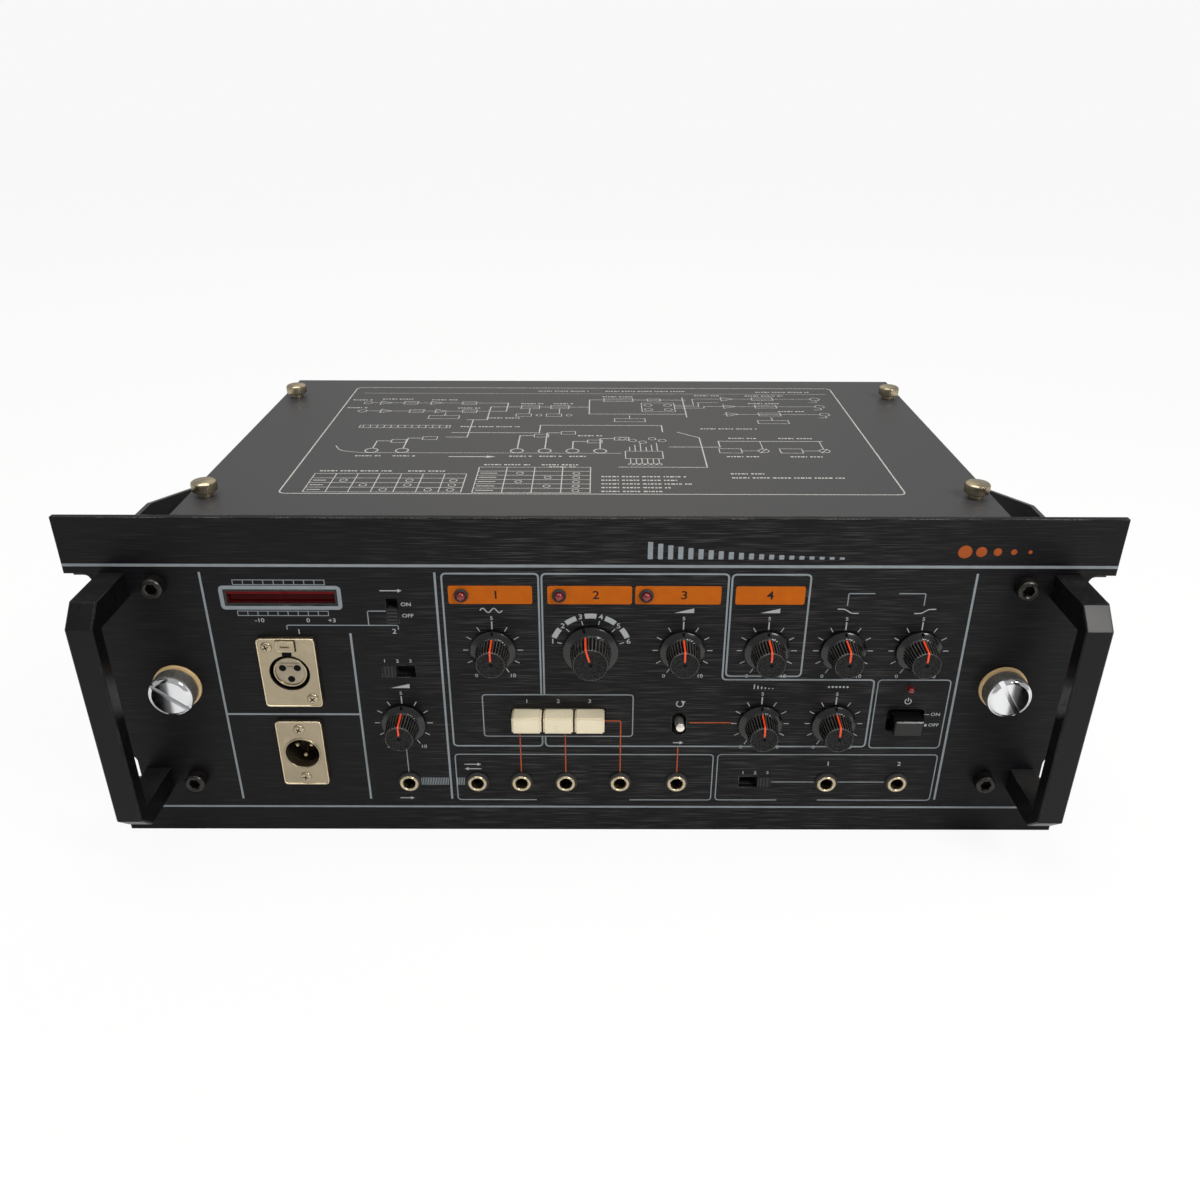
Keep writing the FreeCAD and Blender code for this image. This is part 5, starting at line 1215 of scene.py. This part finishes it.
def make_dome(name, place, radius):
    """A lamp's lens, a little flatter than a half ball."""
    foot, steps = 1.75, 7
    angles = [radians(90 * k / steps) for k in range(1, steps)]
    curve = [(radius * cos(a), foot + radius * 0.75 * sin(a)) for a in angles]
    dome = Shape().turned([(radius, 1.2), (radius, foot), *curve, (0.0, foot + radius * 0.75)], 28)
    dome.piece(name, "unit", "red_lamp", "lamp_lens", place=place, smooth=60.0)


class TAPEECHO_OT_meter_and_lamps(bpy.types.Operator):
    """Finish the level meter and make the domed lamps with their rings"""

    bl_idname = "tape_echo.meter_and_lamps"
    bl_label = "Meter and lamps"

    def execute(self, context):
        give("meter_filter", "level_meter")
        give("lamp_lens", "indicator_lamps")
        give("black_plastic", "lamp_holders")
        make_meter_window()
        collar = ((3.35, 0.0), (3.35, 0.7), (3.2, 1.3), (2.9, 1.6), (2.55, 1.6), (2.3, 1.3), (2.3, 0.6))
        for number, x in enumerate(LAMP_COLUMNS, start=1):
            place = at(x, 0, ROW_LAMPS)
            make_dome(f"lamp_{number}_dome", place, 2.15)
            ring = Shape().turned(collar, 36)
            ring.piece(f"lamp_ring_{number}", "unit", *BLACK, place=place, smooth=60.0)
        make_dome("power_lamp_dome", at(POWER_PLACE[0], 0, POWER_LAMP_ROW), 1.6)
        return {"FINISHED"}


def make_button(name):
    """An ivory cap with rounded edges, the size of the button that it stands for."""
    low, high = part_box(name)
    block = Shape().box([v / MM for v in low], [v / MM for v in high])
    cap = block.piece(name + "_cap", name, "cream_plastic", "aged_ivory", bevel=0.8, segments=4)
    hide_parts(name)


def make_lever():
    """A plain round lever with a flat end."""
    x, z = TOGGLE_PLACE
    place = at(x, TOGGLE_PIVOT, z) @ rotation("X", -TOGGLE_TILT)
    profile = ((0.0, -3.4), (2.15, -3.4), (2.15, 13.55), (2.0, 13.85), (1.75, 14.0), (0.0, 14.0))
    rod = Shape().turned(profile, 40)
    lever = rod.piece("toggle_bat", "toggle_lever", "nickel", "satin_nickel", place=place)
    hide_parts("toggle_lever")


class TAPEECHO_OT_switches(bpy.types.Operator):
    """Finish the slide switches, buttons and toggle, with the power button's well"""

    bl_idname = "tape_echo.switches"
    bl_label = "Switches"

    def execute(self, context):
        for number in (1, 2, 3):
            make_button(f"effect_button_{number}")
        give("gloss_black", "power_button")
        give(
            "black_plastic", "slide_switches", "direct_slider", "input_level_slider", "output_level_slider",
            "push_switches", "toggle_switch",
        )
        make_lever()
        # The well's near-black walls are painted shade inside the power button's opening.
        well = sleeve(*POWER_PLACE, wide=9.45, tall=6.65, wall=0.7, front=0.12, back=7.2, tall_sides=True)
        well.piece("power_well", "unit", "black_plastic", "dark_well", smooth=0)
        return {"FINISHED"}


class TAPEECHO_OT_jacks(bpy.types.Operator):
    """Make the jacks' ring nuts and flared lips"""

    bl_idname = "tape_echo.jacks"
    bl_label = "Jacks"

    def execute(self, context):
        lip, nut, bore = chosen("pieces").lip / MM, chosen("pieces").nut / MM, 3.28
        # The jacks' bodies are painted near-black, as painted shade in their bores.
        give("dark_well", "jack_bodies")
        # The ferrules and the lips take a brighter copy of the nickel, a painted highlight of their shine.
        give("bright_nickel", "jack_ferrules")
        inner = lip - 0.2
        collar = (nut, 0.0), (nut, 0.9), (nut - 0.3, 1.35), (lip + 0.15, 1.5), (inner, 1.1), (inner, 0.0)
        flare = (
            (lip - 0.25, 1.0), (lip, 1.5), (lip, 2.0), (lip - 0.2, 2.35), (lip - 0.55, 2.45),
            (lip - 0.95, 2.2), (3.45, 1.2), (bore, 0.2), (bore, -1.0),
        )
        for number, x in enumerate(JACK_COLUMNS, start=1):
            place = at(x, 0, ROW_JACKS)
            ring, rim = Shape().turned(collar, 48), Shape().turned(flare, 48)
            ring.piece(f"jack_nut_{number}", "unit", *BLACK, place=place, smooth=40.0)
            rim.piece(f"jack_lip_{number}", "unit", "nickel", "bright_nickel", place=place, smooth=60.0)
        return {"FINISHED"}


def make_screw(number, x, z):
    """An oval head whose cross recess is a flat near-black cross, painted shade, at a turn of its own."""
    name, place = f"connector_screw_{number}", at(x, -2.2, z)
    oval = (2.75, 0.0), (2.75, 0.25), (2.55, 0.55), (2.1, 0.85), (1.5, 1.05), (0.0, 1.15)
    head, cross = Shape().turned(oval, 32), Shape()
    for angle in (0.0, 90.0):
        turn = radians(angle + 20 * number)
        c, s = cos(turn), sin(turn)
        corners = corners_of(-1.45, 1.45, -0.28, 0.28)
        cross.cap(cross.add([(a * c - b * s, a * s + b * c, 1.17) for a, b in corners]))
    piece = head.piece(name, "unit", "nickel", "screw_nickel", place=place, smooth=50.0)
    cross.piece(name + "_cross", "unit", "nickel", "dark_well", place=place, smooth=0)
    return piece


def make_rounds():
    """Dark linings in the input's mouth and the output's cup, painted shade on their walls (the cup's dark
    floor is also its insulator), and the rim of the insert.
    """
    mouth = ((9.67, 1.2), (9.62, 1.2), (9.52, -4.5), (8.15, -4.5))
    cup = ((8.41, -3.0), (8.36, -3.0), (8.26, -11.9), (0.0, -11.9))
    insert = ((8.1, 0.0), (8.1, 0.55), (7.8, 0.8), (7.3, 0.8), (7.1, 0.45), (7.1, 0.0))
    for name, profile, slot, finish_name, y, row, smooth in (
        ("mouth_lining", mouth, "black_plastic", "dark_well", 0, INPUT_ROW, 50.0),
        ("cup_lining", cup, "black_plastic", "cup_metal", 0, OUTPUT_ROW, 50.0),
        ("insert_rim", insert, "nickel", "insert_rim_nickel", -0.8, INPUT_ROW, 35.0),
    ):
        place = at(CONNECTOR_COLUMN, y, row)
        Shape().turned(profile, 48).piece(name, "unit", slot, finish_name, place=place, smooth=smooth)


def make_key():
    """The key bars on the input connector's insert."""
    x, z = CONNECTOR_COLUMN, INPUT_ROW
    key = Shape().box((x - 4.4, -1.15, z + 3.9), (x + 4.4, -0.7, z + 5.0))
    key.box((x - 1.5, -1.1, z + 1.6), (x + 1.5, -0.72, z + 3.1))
    key.piece("insert_key", "unit", "black_plastic", "insert_plastic", bevel=0.15)


def make_output_rim():
    """The rolled rim of the output's cup."""
    rim = ((9.2, 0.0), (9.1, 0.35), (8.8, 0.55), (8.45, 0.45), (8.3, 0.1), (8.3, -0.6))
    place = at(CONNECTOR_COLUMN, -2.2, OUTPUT_ROW)
    Shape().turned(rim, 48).piece("output_rim", "unit", "nickel", "nickel_plate", place=place, smooth=60.0)


def make_pin_tips():
    """Round ends on the three pins."""
    radius, foot = 1.18, -2.45
    curve = [(radius * cos(a), foot + 0.9 * sin(a)) for a in (0.4, 0.8, 1.2)]
    tip = Shape().turned([(1.2, -2.7), (radius, foot), *curve, (0.0, foot + 0.9)], 20)
    tips = Shape()
    for x, z in contact_places():
        tips.weld(tip, lambda point: (x + point[0], z + point[1], point[2]))
    place = at(CONNECTOR_COLUMN, 0, OUTPUT_ROW)
    tips.piece("pin_tips", "unit", "nickel", "pin_nickel", place=place, smooth=60.0)


def make_borders():
    """Thin raised borders round the latch's front and the two flanges, in brighter nickel as a painted
    highlight of their bevels.
    """
    x, latch = CONNECTOR_COLUMN, "input_connector_latch"
    for name, body, finish_name, row, wide, tall, sizes in (
        ("latch_frame", latch, "latch_nickel", INPUT_ROW + 15.3, 4.3, 2.9, (0.8, 0.55, -3.6, 0.22)),
        ("input_border", "unit", "border_nickel", INPUT_ROW, 13.85, 19.05, (2.2, 0.72, -2.2, 0.4)),
        ("output_border", "unit", "border_nickel", OUTPUT_ROW, 11.45, 19.2, (2.2, 0.72, -2.2, 0.4)),
    ):
        rim_shape(x, row, wide, tall, *sizes).piece(name, body, "nickel", finish_name, smooth=60.0)


def make_hollows():
    """Painted shade for hollows: flat near-black patches for the gap below the latch and the wide mouths of
    the contacts.
    """
    x, z = CONNECTOR_COLUMN, INPUT_ROW
    gap, mouths = Print(), Print()
    gap.block(x - 2.3, x + 2.3, z + 9.5, z + 12.2)
    gap.piece("latch_gap", "dark_well", -2.23, slot="black_plastic")
    for across, up in contact_places():
        mouths.disc(x + across, z + up, 1.75)
    mouths.piece("contact_mouths", "dark_well", -0.82, slot="black_plastic")


class TAPEECHO_OT_connectors(bpy.types.Operator):
    """Finish the three-pole connectors and make their screws, key and latch ridges"""

    bl_idname = "tape_echo.connectors"
    bl_label = "Connectors"

    def execute(self, context):
        give("cast_nickel", "input_connector_shell", "output_connector_shell")
        give("nickel_plate", "input_connector_latch")
        give("pin_nickel", "output_connector_pins")
        give("insert_plastic", "input_connector_insert")
        places = [(9.3 * sign, INPUT_ROW - 14.4 * sign) for sign in (-1, 1)]
        places += [(0.0, OUTPUT_ROW - 14.4 * sign) for sign in (-1, 1)]
        screws = [make_screw(n, CONNECTOR_COLUMN + x, z) for n, (x, z) in enumerate(places, start=1)]
        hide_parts("connector_screws")
        make_rounds()
        make_key()
        make_output_rim()
        make_pin_tips()
        make_borders()
        make_hollows()
        return {"FINISHED"}


def make_socket_screw(number, x, z):
    """A cap head with a knurled side and a hexagon socket, whose walls and floor are painted near-black as
    shade.
    """
    steps, half_flat = 72, 2.45
    mouth = (2.95, 5.7)
    profile = (
        (3.0, -9.8), (3.0, 0.0), (4.7, 0.0), (5.0, 0.3, 0.14), (5.0, 5.2, 0.14), (4.6, 5.7), (4.2, 6.0),
        (3.3, 6.0), mouth,
    )
    screw = Shape().turned(profile, steps)
    rings = [screw.ring(steps, *mouth)]
    angles = [2 * pi * i / steps for i in range(steps)]
    reaches = [half_flat / cos(angle % (pi / 3) - pi / 6) for angle in angles]
    corners = [(r * cos(a), r * sin(a)) for r, a in zip(reaches, angles)]
    for depth in (5.55, 3.0):
        rings.append(screw.add([(*corner, depth) for corner in corners]))
    screw.skin(rings[0], rings[1])
    screw.skin(rings[1], rings[2], mark=1)
    screw.cap(rings[2], mark=1)
    name, finishes = f"socket_screw_{number}", ("black_oxide", "dark_well")
    return screw.piece(name, "unit", "screw_black", *finishes, place=at(x, 0, z), smooth=30.0)


def make_thumbscrew(name, x, slot_angle):
    """A polished coin-slotted head with a knurled rim."""
    foot = [(0.0, -6.4), (3.0, -6.4), (3.0, 0.0), (10.2, 0.0)]
    knurls = [(10.8, 0.5 + 7.1 * i / 10, 0.4, i % 2) for i in range(11)]
    top = [(10.35, 8.2), (9.9, 8.4), (9.4, 9.0), (8.6, 9.45), (0.0, 9.5)]
    blank = Shape().turned(foot + knurls + top, 100, [0] * 3 + [1] * 12 + [0] * 4)
    finishes, place = ("bright_chrome", "knurled_plate"), at(x, -1.6, THUMB_ROW)
    head = blank.piece(name + "_head", name, "bright_chrome", *finishes, place=place, smooth=30.0)
    slot = Shape().box((-13.0, -1.2, 7.4), (13.0, 1.2, 12.0))
    cutter = put_in_scene("slot_cutter", slot.mesh("slot_cutter"))
    cutter.matrix_world = head.matrix_world @ rotation("Z", slot_angle)
    cut = head.modifiers.new("slot", "BOOLEAN")
    cut.operation, cut.solver, cut.object = "DIFFERENCE", "EXACT", cutter
    done = evaluated_mesh(head)
    head.modifiers.clear()
    for face in done.polygons:
        face.use_smooth = face.material_index == 0
    done.set_sharp_from_angle(angle=radians(25))
    head.data = done
    bpy.data.objects.remove(cutter)
    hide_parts(name)


def make_cover_screw(name, x, y):
    """A nickel thumbscrew with a knurled side and a rounded top."""
    profile = (
        (0.0, -9.9), (2.0, -9.9), (2.0, -2.2), (2.0, 0.0), (3.6, 0.05), (3.6, 2.1), (5.3, 2.3),
        (5.9, 2.8, 0.16), (6.0, 3.2, 0.2), (6.0, 6.4, 0.2), (5.75, 7.0), (5.1, 7.55), (4.0, 7.9),
        (2.0, 8.08), (0.0, 8.1),
    )
    screw, place = Shape().turned(profile, 72), at(x, y, COVER_TOP + 0.1, facing=FACING_UP)
    piece = screw.piece(name + "_head", name, "nickel", "screw_nickel", place=place)
    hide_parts(name)


def make_case_screws():
    """Pan-head screws on the case's sides and rear, and the handles' screws behind the ears."""
    back = rotation("X", -90)
    places = [at(x, 244.6, z, facing=back) for x in (-180.0, -60.0, 60.0, 180.0) for z in (10.0, 162.0)]
    for side in (-1, 1):
        turn = rotation("Y", 90 * side)
        places += [at(side * 193.05, y, 14.0, facing=turn) for y in (30.0, 150.0, 225.0)]
        places += [at(side * 219.4, 5.05, z, facing=back) for z in (33.5, 143.5)]
    screw = Shape().turned(((2.9, 0.0), (2.85, 0.5), (2.4, 1.1), (1.4, 1.4), (0.0, 1.45)), 20)
    # Each head's cross recess is a flat near-black cross: painted shade.
    for angle in (0.0, 90.0):
        turn = rotation("Z", angle)
        corners = corners_of(-1.3, 1.3, -0.25, 0.25)
        screw.cap(screw.add([tuple(turn @ Vector((*corner, 1.47))) for corner in corners]), mark=1)
    screws = Shape()
    for place in places:
        screws.weld(screw, lambda point: place @ (Vector(point) * MM) / MM)
    screws.piece("case_screws", "unit", "screw_black", "black_oxide", "dark_well", smooth=50.0)


class TAPEECHO_OT_fasteners(bpy.types.Operator):
    """Make the socket screws, thumbscrews, cover screws and case screws"""

    bl_idname = "tape_echo.fasteners"
    bl_label = "Fasteners"

    def execute(self, context):
        sockets = [make_socket_screw(n, x, z) for n, (x, z) in enumerate(PANEL_SCREWS, start=1)]
        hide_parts("panel_screws")
        for side, sign, slot in (("left", -1, -38.0), ("right", 1, -58.0)):
            make_thumbscrew(f"panel_thumbscrew_{side}", sign * THUMB_COLUMN, slot)
        for corner, (x, y) in COVER_SCREWS.items():
            make_cover_screw(f"cover_thumbscrew_{corner}", x, y)
        make_case_screws()
        return {"FINISHED"}


class TAPEECHO_OT_works(bpy.types.Operator):
    """Finish the tape transport, the boards and the power supply"""

    bl_idname = "tape_echo.works"
    bl_label = "Works under the cover"

    def execute(self, context):
        give("zinc_sheet", "transport_deck", "pinch_arm", "reverb_tank", "rotary_controls")
        give("board_laminate", "circuit_boards")
        give("oxide_tape", "tape_loop")
        give("head_face", "tape_heads")
        give("motor_paint", "drive_motor")
        give("core_varnish", "power_transformer")
        give("ground_rubber", "pinch_roller")
        give("ground_steel", "capstan")
        return {"FINISHED"}


def make_floor(colour):
    """A pale floor that glows to the camera's own rays alone, and keeps the shadow."""
    material = bpy.data.materials.new("stage_floor")
    material.use_nodes = True
    tree = material.node_tree
    matt = tree.nodes["Principled BSDF"]
    feed(tree, matt, {"Base Color": (*colour, 1.0), "Roughness": 0.9, "Specular IOR Level": 0.0})
    share = times(tree, node(tree, "LightPath").outputs["Is Camera Ray"], 0.9)
    glow = node(tree, "Emission", {"Strength": 1.0})
    mix = node(tree, "MixShader", {0: share, 1: matt.outputs[0], 2: glow.outputs[0]})
    feed(tree, tree.nodes["Material Output"], {"Surface": mix.outputs[0]})
    mesh = bpy.data.meshes.new("stage_floor")
    reach, level = 8.0, -0.0002
    corners = [(*corner, level) for corner in corners_of(-reach, reach, -reach, reach)]
    mesh.from_pydata(corners, [], [range(4)])
    mesh.materials.append(material)
    floor = put_in_scene("stage_floor", mesh)


def light_world(strength):
    """Even white light, which the camera sees as the backdrop."""
    world = bpy.data.worlds.new("stage_world")
    world.use_nodes = True
    bpy.context.scene.world = world
    tree = world.node_tree
    path = node(tree, "LightPath").outputs
    seen = maths(tree, "MAXIMUM", path["Is Camera Ray"], path["Is Transmission Ray"])
    total = maths(tree, "ADD", times(tree, seen, BACKDROP - strength), strength)
    feed(tree, tree.nodes["Background"], {"Color": (1.0, 1.0, 1.0, 1.0), "Strength": total})


def add_lamp(name, place, target, size, power, colour):
    lamp = bpy.data.lights.new(name, "AREA")
    lamp.color, lamp.shape, lamp.size, lamp.energy = colour, "DISK", size, power
    holder = put_in_scene(name, lamp)
    holder.location = place
    way = Vector(target) - Vector(place)
    holder.rotation_euler = way.to_track_quat("-Z", "Y").to_euler()


class TAPEECHO_OT_stage(bpy.types.Operator):
    """Set the floor, the lights and the camera"""

    bl_idname = "tape_echo.stage"
    bl_label = "Stage"

    def execute(self, context):
        stage = chosen("stage")
        warm, amber = (1.0, 0.985, 0.96), (1.0, 0.92, 0.70)
        make_floor(stage.floor)
        light_world(stage.world)
        add_lamp("overhead_lamp", (-0.2, 0.0, 1.4), (0.0, 0.1, 0.1), 1.1, stage.key, warm)
        add_lamp("front_lamp", (0.72, -0.62, 1.05), (0.08, 0.0, 0.1), 0.45, stage.side, warm)
        add_lamp("back_lamp", (0.0, 1.5, 1.35), (0.0, 0.1, 0.1), 1.6, stage.back, amber)
        camera = bpy.data.cameras.new("front_camera")
        camera.lens, camera.sensor_width, camera.clip_start = stage.lens, 36.0, 0.01
        holder = put_in_scene("front_camera", camera)
        holder.location = (0.003134, -0.417891, 0.353320)
        holder.rotation_euler = [radians(angle) for angle in (62.524, -0.189, -0.0718)]
        bpy.context.scene.camera = holder
        bpy.context.scene.view_settings.view_transform = "Standard"
        return {"FINISHED"}


class TAPEECHO_PT_panel(bpy.types.Panel):
    """Settings and steps of the tape echo unit"""

    bl_idname = "TAPEECHO_PT_panel"
    bl_label = "Tape Echo Unit"
    bl_space_type = "VIEW_3D"
    bl_region_type = "UI"
    bl_category = "Tape Echo"

    def draw(self, context):
        for step in STEPS:
            self.layout.operator(step.bl_idname)
        for family, group in FAMILIES.items():
            box = self.layout.box()
            for key in group.__annotations__:
                box.prop(chosen(family), key)


STEPS = (
    TAPEECHO_OT_case_finish, TAPEECHO_OT_panel_print, TAPEECHO_OT_cover_print, TAPEECHO_OT_knobs,
    TAPEECHO_OT_meter_and_lamps, TAPEECHO_OT_switches, TAPEECHO_OT_jacks, TAPEECHO_OT_connectors,
    TAPEECHO_OT_fasteners, TAPEECHO_OT_works, TAPEECHO_OT_stage,
)
CLASSES = (*FAMILIES.values(), *STEPS, TAPEECHO_PT_panel)


def register():
    for each in CLASSES:
        bpy.utils.register_class(each)
    for family, group in FAMILIES.items():
        setattr(bpy.types.Scene, "tape_echo_" + family, bpy.props.PointerProperty(type=group))


def unregister():
    for family in FAMILIES:
        delattr(bpy.types.Scene, "tape_echo_" + family)
    for each in reversed(CLASSES):
        bpy.utils.unregister_class(each)


def main():
    register()
    for step in STEPS:
        family, name = step.bl_idname.split(".")
        getattr(getattr(bpy.ops, family), name)()


if __name__ == "__main__":
    main()
